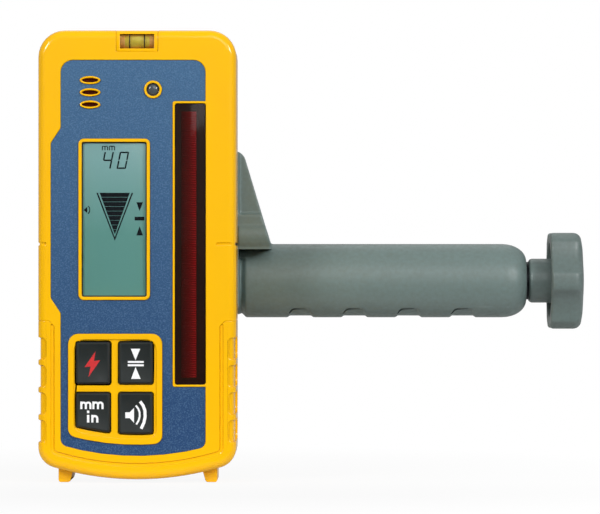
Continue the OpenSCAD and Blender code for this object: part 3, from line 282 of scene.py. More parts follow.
@dataclass(frozen=True)
class PrintedLabel(FadedFilm):
    """Reverse-printed polycarbonate film: flecks of ink show through a fine-textured face."""

    low_color: str = "#013b6d"
    high: float = 70.0
    low: float = -70.0
    flecks: tuple[str, str] = ("#6d94b8", "#143c66")
    fleck_mm: float = 0.5
    fleck_noise: Point = (0.46, 0.68)
    fleck_share: float = 0.3
    fleck_shift: float = 37.0

    def make(self) -> bpy.types.Material:
        """Makes the film: a vertical change of tone with pale and dark flecks.

        Returns:
            The material.
        """
        material, tree, shader, place = self.start()
        color = self.faded(tree, place)
        for i, tone in enumerate(self.flecks):
            moved = add_node(tree, "VectorMath", {"#0": place, "#1": (i * self.fleck_shift,) * 3})
            ink = add_node(tree, "TexNoise", {"Vector": moved.outputs[0], "Scale": 1 / self.fleck_mm,
                                              "Detail": 1.0})
            part = add_node(tree, "MapRange", {"Value": ink.outputs["Fac"], "From Min": self.fleck_noise[0],
                                               "From Max": self.fleck_noise[1], "To Max": self.fleck_share})
            mix = add_node(tree, "Mix", {"#0": part.outputs[0], "#6": color, "#7": linear(tone)},
                           data_type="RGBA")
            color = mix.outputs[2]
        tree.links.new(color, shader.inputs["Base Color"])
        self.grained(tree, shader, place)
        return material


class Finishes:
    """Every finish of the receiver and its clamp."""

    # ABS, injection moulded: glossy yellow with a slight orange-peel. The real peel, about 0.3 mm,
    # wouldn't show, so it is drawn 1.1 mm wide
    YELLOW_ABS = Finish("yellow_abs_moulded", "#fdc003", roughness=0.17, ior=1.5, shade="#fabb02",
                        shade_mm=24, grain_mm=1.1, grain_depth=0.006, gloss_change=0.02)
    # Glass-filled nylon, moulded: satin grey with a faint cloud of fibres and paler handled edges.
    # The spark-eroded grain of about 0.15 mm is drawn 0.5 mm wide so that it shows
    GREY_NYLON = Finish("grey_nylon_moulded", "#6f8381", roughness=0.44, ior=1.53, shade="#65736f",
                        shade_mm=1.6, shade_spread=0.8, grain_mm=0.5, grain_depth=0.035, edge="#8f9d99",
                        edge_share=0.22)
    # The same nylon on the knob, a shade darker as painted shade
    KNOB_NYLON_PAINTED_SHADE = Finish("grey_nylon_knob_painted_shade", "#687876", roughness=0.42, ior=1.53, shade="#5c6965",
                        shade_mm=1.6, shade_spread=0.8, grain_mm=0.5, grain_depth=0.03, edge="#8a9793",
                        edge_share=0.5)
    # Natural rubber, moulded: matt black with a dusty bloom
    BLACK_RUBBER = Finish("black_rubber_moulded", "#2b2c2e", roughness=0.78, ior=1.52, shade="#3a3b3d",
                          shade_mm=5, grain_mm=0.4, grain_depth=0.03, edge="#4a4b4d")
    # Silicone rubber, moulded: the charcoal keys, satin with fine grain
    KEY_SILICONE = Finish("charcoal_silicone_keys", "#1a2221", roughness=0.56, ior=1.43, shade="#202625",
                          shade_mm=4, grain_mm=0.35, grain_depth=0.015, edge="#3a403f", edge_share=0.4)
    # Polycarbonate film, printed on its back: blue with fine flecks under a satin face. The dots of
    # about 0.25 mm are drawn 0.5 mm wide so that they show
    LABEL_FILM = PrintedLabel("blue_polycarbonate_label", "#31618a", roughness=0.42, ior=1.58,
                              grain_mm=0.5, grain_depth=0.01)
    # Liquid-crystal cell between glass: a grey-green field, paler at its top
    LCD_FIELD = FadedFilm("liquid_crystal_field", "#7fa9a9", roughness=0.2, ior=1.52, low_color="#60958d",
                          low=4.0)
    # Acrylic pane: clear, with a faint grey tint and a polished face
    CLEAR_PANE = Finish("acrylic_display_pane", "#1d2624", roughness=0.06, ior=1.49, alpha=0.03,
                        shade="#222b29", shade_mm=20, gloss_change=0.02)
    # Twisted liquid crystal, switched on: near-black with a blue cast
    LCD_SEGMENT = Finish("liquid_crystal_segments", "#090f14", roughness=0.24, shade="#0c141b", shade_mm=3,
                         gloss_change=0.02)
    # Dyed acrylic, cast and polished: the eye sees a near-black sheen with the guide's painted highlight
    # showing through
    FILTER_PANE = Finish("dark_acrylic_filter", "#26100a", roughness=0.07, ior=1.49, alpha=0.42,
                         shade="#180b09", shade_mm=10, gloss_change=0.02)
    # ABS, moulded: the dark brown tray behind the filter
    FILTER_TRAY = Finish("brown_filter_tray", "#4d3228", roughness=0.4, ior=1.53, shade="#432a20", shade_mm=8)
    # Dyed acrylic, moulded with fine ribs: deep red with a painted highlight that brightens it towards its
    # right side, and painted shade towards its left
    RED_RIBS_PAINTED_LIGHT = FadedFilm("red_ribbed_acrylic", "#ea1c22", roughness=0.34, ior=1.49, low_color="#6c1a10",
                         axis="X", low=16.9, high=22.6)
    # Polycarbonate, moulded: a smoke-grey lens with a clear glint
    SMOKE_LENS = Finish("smoke_polycarbonate_lens", "#565e64", roughness=0.16, ior=1.58, shade="#42494e",
                        shade_mm=1.2, gloss_change=0.04)
    # Screen-printed epoxy ink on the keys: soft white, a hair above the rubber
    WHITE_INK = Finish("white_key_ink", "#fbfcfd", roughness=0.5, shade="#f0f2f4", shade_mm=1.5,
                       grain_mm=0.3, grain_depth=0.01)
    # Screen-printed epoxy ink: signal red
    RED_INK = Finish("red_key_ink", "#d8292c", roughness=0.5, shade="#c21f24", shade_mm=1.5,
                     grain_mm=0.3, grain_depth=0.01)
    # Pad-printed ink: the two black rings of the vial
    BLACK_INK = Finish("black_ring_ink", "#17180f", roughness=0.4, shade="#22241a", shade_mm=1)
    # Dyed spirit: clear yellow-green that darkens where it is deep
    VIAL_SPIRIT = Finish("yellow_green_spirit", "#d2e04a", roughness=0.1, ior=1.36, alpha=0.55,
                         shade="#c6cc30", shade_mm=3, gloss_change=0.02)
    # Acrylic, turned and polished: clear, painted amber as painted light from the yellow pocket round it
    VIAL_ACRYLIC_PAINTED_GLOW = Finish("vial_acrylic", "#f4c06a", roughness=0.05, ior=1.49, alpha=0.28, shade="#e2a02e",
                          shade_mm=4, gloss_change=0.02)
    # Butyrate, turned: the amber-brown plugs glued into the vial's ends
    VIAL_PLUG = Finish("vial_end_plugs", "#dba868", roughness=0.3, ior=1.48, shade="#c48f52", shade_mm=1.2)
    # Air: the bubble's wall painted pale as a painted glint
    BUBBLE_PAINTED_GLINT = Finish("air_bubble", "#f2f3c4", roughness=0.08, ior=1.33, shade="#e6e8a8", shade_mm=2)
    # Steel, turned and zinc plated: pale blue-grey with fine marks round the axis
    ZINC_STEEL = PlatedMetal("zinc_plated_steel", Alloy.ZINC_STEEL.value, shade="#b3b6ba", shade_mm=4)
    # Spring steel, drawn or stamped: brighter and smoother than the plated parts
    SPRING_STEEL = PlatedMetal("drawn_spring_steel", Alloy.SPRING_STEEL.value, roughness=0.26,
                               shade="#9fa3a8", shade_mm=3)
    # Steel: a turned washer, painted near-black as painted shade of the narrow gap between tube and knob,
    # with a dull gleam
    WASHER_STEEL_PAINTED_SHADE = PlatedMetal("washer_steel_painted_shade", "#2b2d30", roughness=0.42, shade="#1f2124", shade_mm=3)
    # Brass, turned: warm yellow metal with tool marks
    BRASS = PlatedMetal("turned_brass", Alloy.BRASS.value, roughness=0.3, shade="#c59e52", shade_mm=3)
    # Glass-epoxy board under green solder mask
    BOARD = Finish("green_circuit_board", "#2d6d46", roughness=0.4, shade="#255c3a", shade_mm=2.5,
                   grain_mm=0.8, grain_depth=0.01)
    # Zebra strip: silicone layered black and pink across its length
    ZEBRA = Finish("zebra_silicone_strip", "#3c3c40", roughness=0.6, shade="#c08a8a", shade_mm=0.6,
                   shade_spread=0.1, stretch=(1.0, 0.1, 0.1))
    # Epoxy, cast over the diodes: near-black with a wet gloss
    DIODE_RESIN = Finish("photodiode_epoxy", "#1b1e25", roughness=0.24, ior=1.55, shade="#2b1f2a", shade_mm=2)
    # Acrylic light guide, moulded: milky white
    BACKLIGHT = Finish("backlight_acrylic", "#e8ede9", roughness=0.35, ior=1.49, shade="#dce3de", shade_mm=4)
    # Polyester, moulded: the buzzer's satin black case
    BUZZER_CASE = Finish("black_buzzer_case", "#1d1e21", roughness=0.48, shade="#292a2d", shade_mm=3)
    # Open-weave fabric glued behind the slots: dark red-brown, a painted shade of the slots with a painted
    # reflection of their yellow walls
    MEMBRANE_PAINTED_SHADE = Finish("woven_sound_membrane", "#6b2a12", roughness=0.85, shade="#4c1c0c", shade_mm=0.5,
                      shade_spread=0.2, grain_mm=0.4, grain_depth=0.05)
    # Nickel-plated steel can, drawn: bright and smooth
    CELL_CAN = PlatedMetal("nickel_plated_can", "#cfcfc9", roughness=0.22, shade="#bcbcb6", shade_mm=5,
                           grain_mm=0.6, grain_depth=0.004)
    # Shrink film with copper-coloured lacquer: the band at each cell's positive end
    CELL_BAND = PlatedMetal("copper_lacquer_sleeve", "#b8743c", roughness=0.3, shade="#a9672f", shade_mm=6,
                            grain_mm=0.8, grain_depth=0.004)
    # Shrink film, printed black: a smooth sleeve with a soft gloss
    CELL_SLEEVE = Finish("battery_shrink_sleeve", "#2d2f33", roughness=0.3, shade="#3b3e43", shade_mm=6,
                         coat=0.4)
    # Closed-cell rubber, die cut: dull black with open pores on its cut face; it also colours the dark rings
    # round the display field and the strobe lens, which are painted shadow
    SEAL = Finish("black_seal_foam", "#27282a", roughness=0.85, shade="#343537", shade_mm=1, grain_mm=0.5,
                  grain_depth=0.04)


# CAD nodes that stay as they are, with their finish
PLAIN_NODES: dict[str, Finish] = {
    "housing_gasket": Finishes.SEAL, "strobe_diode": Finishes.DIODE_RESIN,
    "lcd_backlight": Finishes.BACKLIGHT, "lcd_connector": Finishes.ZEBRA,
    "keypad_mat": Finishes.KEY_SILICONE, "key_domes": Finishes.SPRING_STEEL,
    "main_board": Finishes.BOARD, "sensor_board": Finishes.BOARD,
    "board_screws": Finishes.ZINC_STEEL, "photodiodes": Finishes.DIODE_RESIN,
    "buzzer": Finishes.BUZZER_CASE, "buzzer_membrane": Finishes.MEMBRANE_PAINTED_SHADE,
    "battery_contacts": Finishes.BRASS, "mount_insert": Finishes.BRASS,
    "screw_retainer": Finishes.SPRING_STEEL, "jaw_nut": Finishes.BRASS,
    "thrust_collar": Finishes.ZINC_STEEL, "collar_pin": Finishes.SPRING_STEEL,
    "thrust_washer": Finishes.WASHER_STEEL_PAINTED_SHADE, "knob_screw": Finishes.ZINC_STEEL,
    "door_hinge_pin": Finishes.SPRING_STEEL,
}


# Outlines, in millimetres

def arc(centre: Point, radius: float, start: float, end: float, steps: int = 8) -> list[Point]:
    """Draws an arc, both ends included.

    Args:
        centre: the arc's centre.
        radius: its radius.
        start: first angle in degrees.
        end: last angle in degrees.
        steps: number of chords.
    Returns:
        The arc's points.
    """
    angles = [math.radians(start + (end - start) * i / steps) for i in range(steps + 1)]
    return [(centre[0] + radius * math.cos(a), centre[1] + radius * math.sin(a)) for a in angles]


def rounded(corners: Sequence[Place], steps: int = 8) -> list[Point]:
    """Rounds the corners of a closed outline.

    Args:
        corners: for each corner its place and radius.
        steps: chords for each corner.
    Returns:
        The outline's points.
    """
    points: list[Point] = []
    for i, (x, z, radius) in enumerate(corners):
        if radius <= 0:
            points.append((x, z))
            continue
        before, after = Vector(corners[i - 1][:2]), Vector(corners[(i + 1) % len(corners)][:2])
        corner = Vector((x, z))
        u, v = (before - corner).normalized(), (after - corner).normalized()
        half = u.angle(v) / 2
        centre = corner + (u + v).normalized() * radius / math.sin(half)
        first = corner + u * radius / math.tan(half) - centre
        turn = math.copysign(math.pi - 2 * half, u.x * v.y - u.y * v.x)
        start = math.atan2(first.y, first.x)
        points += [(centre.x + radius * math.cos(start - turn * k / steps),
                    centre.y + radius * math.sin(start - turn * k / steps)) for k in range(steps + 1)]
    return points


def rect(x0: float, z0: float, x1: float, z1: float, radius: float, steps: int = 8) -> list[Point]:
    """Returns a rectangle with rounded corners, from its lowest and highest corner."""
    return rounded([(x0, z0, radius), (x1, z0, radius), (x1, z1, radius), (x0, z1, radius)], steps)


SHARPEST = 0.5  # the sharpest corners move by the distance divided by this


def offset(outline: Sequence[Point], distance: float) -> list[Point]:
    """Moves a closed outline outwards by a distance, or inwards if it is negative.

    Args:
        outline: the points, in either direction of turn.
        distance: how far the outline moves.
    Returns:
        As many points as before.
    """
    area = sum(a[0] * b[1] - b[0] * a[1] for a, b in zip(outline, [*outline[1:], outline[0]]))
    sign = 1 if area > 0 else -1
    moved = []
    for i, point in enumerate(outline):
        before, after = Vector(outline[i - 1]), Vector(outline[(i + 1) % len(outline)])
        p = Vector(point)
        u, v = (p - before).normalized(), (after - p).normalized()
        normal = Vector((u.y + v.y, -(u.x + v.x))).normalized()
        stretch = 1 / max(normal.dot(Vector((u.y, -u.x))), SHARPEST)
        moved.append(tuple(p + normal * distance * sign * stretch))
    return moved


# Meshes

WELD = 0.0005  # points nearer than this, in millimetres, become one
AXES = {"X": (Vector((1, 0, 0)), Vector((0, 1, 0))), "Y": (Vector((0, 1, 0)), Vector((1, 0, 0))),
        "Z": (Vector((0, 0, 1)), Vector((1, 0, 0)))}  # each axis and a direction square to it


def shade_by_angle(bm: bmesh.types.BMesh, angle: float) -> None:
    """Shades a mesh smooth apart from its sharp edges.

    Args:
        bm: the mesh.
        angle: edges sharper than this many degrees stay sharp.
    """
    for face in bm.faces:
        face.smooth = True
    for edge in bm.edges:
        edge.smooth = len(edge.link_faces) == 2 and edge.calc_face_angle(0) < math.radians(angle)


def linked(name: str, data: bpy.types.ID) -> bpy.types.Object:
    """Makes an object and links it to the scene.

    Args:
        name: the object's name.
        data: its mesh, lamp or camera.
    Returns:
        The object.
    """
    item = bpy.data.objects.new(name, data)
    bpy.context.scene.collection.objects.link(item)
    return item


def finish_mesh(bm: bmesh.types.BMesh, name: str, smooth_angle: float = 35) -> bpy.types.Object:
    """Turns a mesh in millimetres into a linked object in metres.

    Args:
        bm: the mesh; it is freed.
        name: the object's name.
        smooth_angle: edges sharper than this many degrees stay sharp.
    Returns:
        The object.
    """
    bmesh.ops.remove_doubles(bm, verts=bm.verts, dist=WELD)
    bmesh.ops.recalc_face_normals(bm, faces=bm.faces)
    shade_by_angle(bm, smooth_angle)
    bmesh.ops.scale(bm, vec=(MM, MM, MM), verts=bm.verts)
    mesh = bpy.data.meshes.new(name)
    bm.to_mesh(mesh)
    bm.free()
    return linked(name, mesh)


def paint(item: bpy.types.Object, finish: Finish) -> None:
    """Gives an object one finish instead of the materials that it had."""
    item.data.materials.clear()
    item.data.materials.append(finish.build())


def place(item: bpy.types.Object, finish: Finish, body: str, slot: str = "", *nodes: str) -> None:
    """Dresses a piece, sets it on its body and hides the CAD nodes that it stands for.

    Args:
        item: the piece.
        finish: its surface.
        body: the CAD body that it moves with.
        slot: the record's material slot, or "" where it replaces nodes with their own; not used.
        nodes: the CAD nodes that it replaces.
    """
    paint(item, finish)
    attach(item, body)
    if nodes:
        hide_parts(*nodes)
    log.info("made %s, %d faces", item.name, len(item.data.polygons))


def skin(bm: bmesh.types.BMesh, rings: Sequence[Sequence[Vector]], cap: bool = True,
         loop: bool = False) -> None:
    """Adds a surface through rings that have the same number of points.

    Args:
        bm: the mesh that gets it.
        rings: the rings in order.
        cap: whether the first and last ring are closed with a face.
        loop: whether the last ring joins the first.
    """
    rows = [[bm.verts.new(p) for p in ring] for ring in rings]
    pairs = list(zip(rows, rows[1:])) + ([(rows[-1], rows[0])] if loop else [])
    for low, high in pairs:
        for i in range(len(low)):
            j = (i + 1) % len(low)
            bm.faces.new((low[i], low[j], high[j], high[i]))
    if cap and not loop:
        bm.faces.new(list(reversed(rows[0])))
        bm.faces.new(rows[-1])


def flat(outline: Iterable[Point], y: float) -> list[Vector]:
    """Returns an outline in X and Z as points at a given Y."""
    return [Vector((x, y, z)) for x, z in outline]


def slab(bm: bmesh.types.BMesh, outline: Sequence[Point], y0: float, y1: float, edge: float = 0.2,
         steps: int = 3) -> None:
    """Adds a plate with a rounded front edge, its front at y0 and its back at y1.

    Args:
        bm: the mesh that gets it.
        outline: the plate's outline in X and Z.
        y0: level of the front.
        y1: level of the back.
        edge: radius of the front edge.
        steps: chords of that edge.
    """
    rings = [flat(offset(outline, -edge * (1 - math.sin(a))), y0 + edge * (1 - math.cos(a)))
             for a in (math.pi / 2 * i / steps for i in range(steps + 1))]
    skin(bm, [*rings, flat(outline, y1)])


def ridge(bm: bmesh.types.BMesh, outer: Sequence[Point], inner: Sequence[Point], y0: float, y1: float,
          edge: float = 0.35, steps: int = 3) -> None:
    """Adds a raised frame between two outlines with as many points, its two top edges rounded.

    Args:
        bm: the mesh that gets it.
        outer: outer outline in X and Z.
        inner: inner outline.
        y0: level of the frame's top.
        y1: level of its foot.
        edge: radius of the top edges.
        steps: chords of each edge.
    """
    turns = [math.pi / 2 * i / steps for i in range(steps + 1)]
    rings = [flat(outer, y1)]
    rings += [flat(offset(outer, -edge * (1 - math.cos(a))), y0 + edge * (1 - math.sin(a))) for a in turns]
    rings += [flat(offset(inner, edge * (1 - math.sin(a))), y0 + edge * (1 - math.cos(a))) for a in turns]
    skin(bm, [*rings, flat(inner, y1)], cap=False, loop=True)


def split_caps(bm: bmesh.types.BMesh) -> None:
    """Splits faces with more than four corners, so that outlines with hollow corners close as drawn."""
    bm.normal_update()
    bmesh.ops.triangulate(bm, faces=[f for f in bm.faces if len(f.verts) > 4])


def turned(bm: bmesh.types.BMesh, profile: Sequence[Point], centre: Place, axis: str, steps: int) -> None:
    """Adds a turned form.

    Args:
        bm: the mesh that gets it.
        profile: distance along the axis and radius, from one end to the other; a radius of 0 closes it.
        centre: the point where the distance is 0.
        axis: "X", "Y" or "Z".
        steps: number of sides.
    """
    along, u = AXES[axis]
    v = along.cross(u)
    rows = []
    for distance, radius in profile:
        foot = Vector(centre) + along * distance
        if radius <= 0:
            rows.append([bm.verts.new(foot)])
        else:
            rows.append([bm.verts.new(foot + (u * math.cos(t) + v * math.sin(t)) * radius)
                         for t in (math.tau * i / steps for i in range(steps))])
    for low, high in zip(rows, rows[1:]):
        for i in range(steps):
            j = (i + 1) % steps
            corners = [low[i % len(low)], low[j % len(low)], high[j % len(high)], high[i % len(high)]]
            unique = list(dict.fromkeys(corners))
            if len(unique) > 2:
                bm.faces.new(unique)


SOLID_WELD = 2e-6  # points of a solid that are nearer than this, in metres, become one
FLAT_ANGLE = 1.0  # faces that meet at less than this many degrees become one
ROUND_ANGLE = 32  # edges sharper than this many degrees are rounded
ROUND_SEGMENTS = 2
DRESS_ANGLE = 30  # rounded pieces stay sharp where an edge turns by more than this


def softened(node: str, name: str, width: float, clamp: bool = True,
             cut: bpy.types.Object | None = None) -> bpy.types.Object:
    """Copies a CAD node's solid and rounds its sharp edges.

    Args:
        node: the CAD node.
        name: the new piece's name.
        width: width of the rounding in millimetres.
        clamp: whether short edges hold the rounding back.
        cut: a form that is cut out of the solid first, if there is one.
    Returns:
        The new piece.
    """
    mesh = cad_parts[node].data.copy()
    mesh.name = name
    bm = bmesh.new()
    bm.from_mesh(mesh)
    bmesh.ops.remove_doubles(bm, verts=bm.verts, dist=SOLID_WELD)
    bmesh.ops.dissolve_limit(bm, angle_limit=math.radians(FLAT_ANGLE), verts=bm.verts, edges=bm.edges,
                             delimit=set())
    bm.to_mesh(mesh)
    bm.free()
    item = linked(name, mesh)
    if cut:
        cut_by(item, cut, "DIFFERENCE")
    round_off = item.modifiers.new("round", "BEVEL")
    round_off.width = width * MM
    round_off.segments = ROUND_SEGMENTS
    round_off.limit_method = "ANGLE"
    round_off.angle_limit = math.radians(ROUND_ANGLE)
    round_off.use_clamp_overlap = clamp
    round_off.miter_outer = "MITER_ARC"
    applied(item)
    smooth_by_angle(item, DRESS_ANGLE)
    even = item.modifiers.new("even", "WEIGHTED_NORMAL")
    even.keep_sharp = True
    applied(item)
    return item


def applied(item: bpy.types.Object) -> None:
    """Turns a piece's modifiers into its mesh.

    Args:
        item: the piece.
    """
    bpy.context.view_layer.update()
    graph = bpy.context.evaluated_depsgraph_get()
    mesh = bpy.data.meshes.new_from_object(item.evaluated_get(graph))
    item.modifiers.clear()
    item.data = mesh


def smooth_by_angle(item: bpy.types.Object, angle: float) -> None:
    """Shades a mesh smooth apart from its sharp edges.

    Args:
        item: the piece.
        angle: edges sharper than this many degrees stay sharp.
    """
    bm = bmesh.new()
    bm.from_mesh(item.data)
    shade_by_angle(bm, angle)
    bm.to_mesh(item.data)
    bm.free()


def cut_by(item: bpy.types.Object, form: bpy.types.Object, operation: str = "INTERSECT") -> None:
    """Keeps what lies inside a form, or outside it, and deletes that form.

    Args:
        item: the piece that is cut.
        form: the closed form that it is cut with.
        operation: "INTERSECT" keeps the inside, "DIFFERENCE" the outside.
    """
    cut = item.modifiers.new("trim", "BOOLEAN")
    cut.operation = operation
    cut.solver = "EXACT"
    cut.object = form
    applied(item)
    mesh = form.data
    bpy.data.objects.remove(form)
    bpy.data.meshes.remove(mesh)


# Clamp

@dataclass
class ClampKnob:
    """The six-lobed hand knob: a lobed shell, hollow towards the tube, on a round neck."""

    neck_x: float = 153.2
    knob_x: float = 161.5
    thickness: float = 13.6
    radius: float = 20.5
    lobes: int = 6
    flute_depth: float = 2.9
    flute_radius: float = 17.5
    wall_radius: float = 15.2
    floor: float = 8.0
    rim_round: float = 1.3
    face_round: float = 3.4
    dome: float = 1.2
    neck_radius: float = 8.75
    bore_radius: float = 3.3
    cap_radius: float = 6.0
    lobe_ease: tuple[float, ...] = (-1.8, -0.9, 0.0, 0.9, 1.8)
    steps: int = 216

    def build(self) -> None:
        """Builds the knob with its neck, and the cap in its middle."""
        bm = bmesh.new()
        rows = [[self.at(s, t, self.lobed(t) * share + add) for t in self.turns()]
                for s, share, add in self.stations()]
        skin(bm, rows, cap=False)
        self.neck(bm)
        place(finish_mesh(bm, "lobed_knob", 40), Finishes.KNOB_NYLON_PAINTED_SHADE, "knob", "", "clamp_knob")
        self.cap()

    def turns(self) -> list[float]:
        """Returns the angles round the axis, 0 towards the front."""
        return [math.tau * i / self.steps for i in range(self.steps)]

    def at(self, s: float, turn: float, radius: float) -> Vector:
        """Returns the point at a distance from the inner rim, an angle and a radius."""
        return Vector((self.knob_x + s, CLAMP_Y - radius * math.cos(turn), CLAMP_Z + radius * math.sin(turn)))

    def lobed(self, turn: float) -> float:
        """Finds the outer radius, its lobe edges eased over a few degrees.

        Args:
            turn: the angle round the axis.
        Returns:
            The radius.
        """
        pitch = math.tau / self.lobes
        centre = self.radius - self.flute_depth + self.flute_radius
        total = 0.0
        for d in self.lobe_ease:
            off = (turn + math.radians(d)) % pitch - pitch / 2
            reach = self.flute_radius ** 2 - (centre * math.sin(off)) ** 2
            flute = centre * math.cos(off) - math.sqrt(reach) if reach > 0 else self.radius
            total += min(self.radius, flute)
        return total / len(self.lobe_ease)

    def stations(self) -> list[Place]:
        """Lists the rings from the hollow's floor over the rim to the cap's seat.

        Returns:
            For each ring its distance from the inner rim, share of the lobed radius and what is added.
        """
        inner, lip, edge = self.wall_radius, self.rim_round, self.face_round
        rings = [(self.floor, 0.0, self.neck_radius - 0.1), (self.floor, 0.0, inner - 0.8),
                 (self.floor - 0.25, 0.0, inner - 0.2), (self.floor - 0.8, 0.0, inner), (0.6, 0.0, inner),
                 (0.18, 0.0, inner + 0.16), (0.0, 0.0, inner + 0.55)]
        rings += [(lip * (1 - math.cos(a)), 1.0, -lip * (1 - math.sin(a)))
                  for a in (math.pi / 2 * i / 5 for i in range(6))]
        start = self.thickness - self.dome - edge
        rings += [(start * k / 4, 1.0, 0.0) for k in (2, 3)]
        rings += [(start + edge * math.sin(a), 1.0, -edge * (1 - math.cos(a)))
                  for a in (math.radians(80) * i / 8 for i in range(9))]
        top, seat = self.thickness, self.cap_radius + 0.06
        rings += [(top - 0.85, 0.75, 0.2), (top - 0.5, 0.3, 5.6), (top - 0.25, 0.0, 8.4),
                  (top - 0.12, 0.0, seat + 0.19), (top - 0.3, 0.0, seat), (top - 1.0, 0.0, seat),
                  (top - 1.0, 0.0, 0.05)]
        return rings

    def neck(self, bm: bmesh.types.BMesh) -> None:
        """Adds the neck with its eased end and a low shoulder where it meets the knob.

        Args:
            bm: the knob's mesh.
        """
        r, end = self.neck_radius, self.knob_x - self.neck_x
        profile = [(0.0, self.bore_radius), (0.0, r - 1.6), (0.25, r - 0.75), (0.8, r - 0.2), (1.6, r),
                   (end, r), (end + self.floor - 0.6, r), (end + self.floor, r + 0.5)]
        turned(bm, profile, (self.neck_x, CLAMP_Y, CLAMP_Z), "X", 96)

    def cap(self) -> None:
        """Makes the flat cap that covers the knob's screw."""
        end = self.thickness
        bm = bmesh.new()
        turned(bm, [(end - 0.95, 0.0), (end - 0.95, self.cap_radius), (end - 0.25, self.cap_radius),
                    (end - 0.05, self.cap_radius - 0.3), (end, self.cap_radius - 1.2), (end, 0.0)],
               (self.knob_x, CLAMP_Y, CLAMP_Z), "X", 72)
        place(finish_mesh(bm, "knob_cover", 50), Finishes.KNOB_NYLON_PAINTED_SHADE, "knob", "", "knob_cap")


@dataclass
class Moulding:
    """A moulded CAD piece, its inner and outer corners blended as the tool leaves them."""

    node: str
    finish: Finish
    body: str = "receiver"
    voxel: float = 0.45
    passes: int = 4
    keep: float = 0.4
    sharp_angle: float = 60

    def build(self) -> None:
        """Dresses the blended piece."""
        place(self.moulded(), self.finish, self.body, "", self.node)

    def moulded(self) -> bpy.types.Object:
        """Rebuilds the node's surface in even steps, smooths it and thins out its faces.

        Returns:
            The piece.
        """
        item = linked(self.node + "_moulded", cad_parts[self.node].data.copy())
        even = item.modifiers.new("even", "REMESH")
        even.mode = "VOXEL"
        even.voxel_size = self.voxel * MM
        ease = item.modifiers.new("ease", "SMOOTH")
        ease.factor = 0.5
        ease.iterations = self.passes
        thin = item.modifiers.new("thin", "DECIMATE")
        thin.ratio = self.keep
        applied(item)
        smooth_by_angle(item, self.sharp_angle)
        return item


@dataclass
class ClampFrame(Moulding):
    """The clamp's body; each finger pocket under its handle is deepest along its left and upper edge."""

    tube_radius: float = 14.6
    step_radius: float = 13.2
    pocket_x: float = 57.2
    pocket_top: float = -25.4
    pocket_pitch: float = 21.5
    pocket_count: int = 4
    step_length: float = 7.4
    root_box: tuple[float, float, float, float] = (38.2, -6.2, 51.8, -1.9)
    core_span: Point = (30, 160)
    cut_angle: float = 50

    def build(self) -> None:
        """Cuts the steps and the gusset's edge into the blended piece and dresses it."""
        item = self.moulded()
        for form in (self.steps(), self.root_trim()):
            cut_by(item, form, "DIFFERENCE")
        smooth_by_angle(item, self.cut_angle)
        place(item, self.finish, self.body, "", self.node)

    def steps(self) -> bpy.types.Object:
        """Makes the tapering line that follows each pocket's edge, as deep as the step.

        Returns:
            The form that is cut out.
        """
        top, end = self.pocket_top, self.step_length
        line = [(0.5, top - 2.5), (1.0, top - 1.5), (1.55, top - 0.6), (2.1, top - 0.12), (2.8, top + 0.05),
                (end, top + 0.05), (end, top - 0.12), (3.0, top - 0.4), (2.4, top - 0.62), (1.95, top - 1.05),
                (1.3, top - 1.85)]
        reach = self.tube_radius + 1
        bm = bmesh.new()
        for i in range(self.pocket_count):
            left = self.pocket_x + i * self.pocket_pitch
            outline = [(left + x, z) for x, z in line]
            skin(bm, [flat(outline, CLAMP_Y - reach), flat(outline, CLAMP_Y + reach)])
        split_caps(bm)
        return self.beyond(bm, self.step_radius)

    def root_trim(self) -> bpy.types.Object:
        """Makes the form that ends the gusset's thick root in a level edge over the handle.

        Returns:
            The form that is cut out.
        """
        bm = bmesh.new()
        x0, z0, x1, z1 = self.root_box
        box = [(x0, z0), (x1, z0), (x1, z1), (x0, z1)]
        skin(bm, [flat(box, CLAMP_Y - self.tube_radius - 6), flat(box, CLAMP_Y)])
        return self.beyond(bm, self.tube_radius - 0.05)

    def beyond(self, bm: bmesh.types.BMesh, radius: float) -> bpy.types.Object:
        """Takes the handle's core out of a form.

        Args:
            bm: the form's mesh.
            radius: the core's radius.
        Returns:
            What is left of the form.
        """
        form = finish_mesh(bm, "clamp_cutter")
        core = bmesh.new()
        start, end = self.core_span
        turned(core, [(start, 0), (start, radius), (end, radius), (end, 0)], (0, CLAMP_Y, CLAMP_Z), "X", 128)
        cut_by(form, finish_mesh(core, "handle_core"), "DIFFERENCE")
        return form


# Levels shared by the front's pieces

@dataclass(frozen=True)
class Levels:
    """Levels along Y in millimetres, front to back, as in the CAD model."""

    key_top: float = -45.0
    key_dish: float = -44.9
    front: float = -44.0
    pane: float = -43.9
    display: float = -42.7
    wall: float = -41.2
    key_back: float = -40.3


LEVELS = Levels()
COAT_STEP = 0.004  # each ink figure lies this much higher than the last, so that strokes can cross


def photo_points(*pairs: Point) -> list[Point]:
    """Turns columns and rows of the photograph into millimetres on the receiver's front."""
    return [((x - PHOTO_COLUMN) * PHOTO_SCALE, (PHOTO_ROW - y) * PHOTO_SCALE) for x, y in pairs]


def stroke(path: Sequence[Point], width: float) -> list[Point]:
    """Widens an open path to a closed outline.

    Args:
        path: the middle line, in millimetres.
        width: the line's width.
    Returns:
        The outline.
    """
    left, right = [], []
    for i, point in enumerate(path):
        before, after = Vector(path[max(i - 1, 0)]), Vector(path[min(i + 1, len(path) - 1)])
        along = (after - before).normalized()
        side = Vector((-along.y, along.x)) * width / 2
        left.append(tuple(Vector(point) + side))
        right.append(tuple(Vector(point) - side))
    return left + right[::-1]


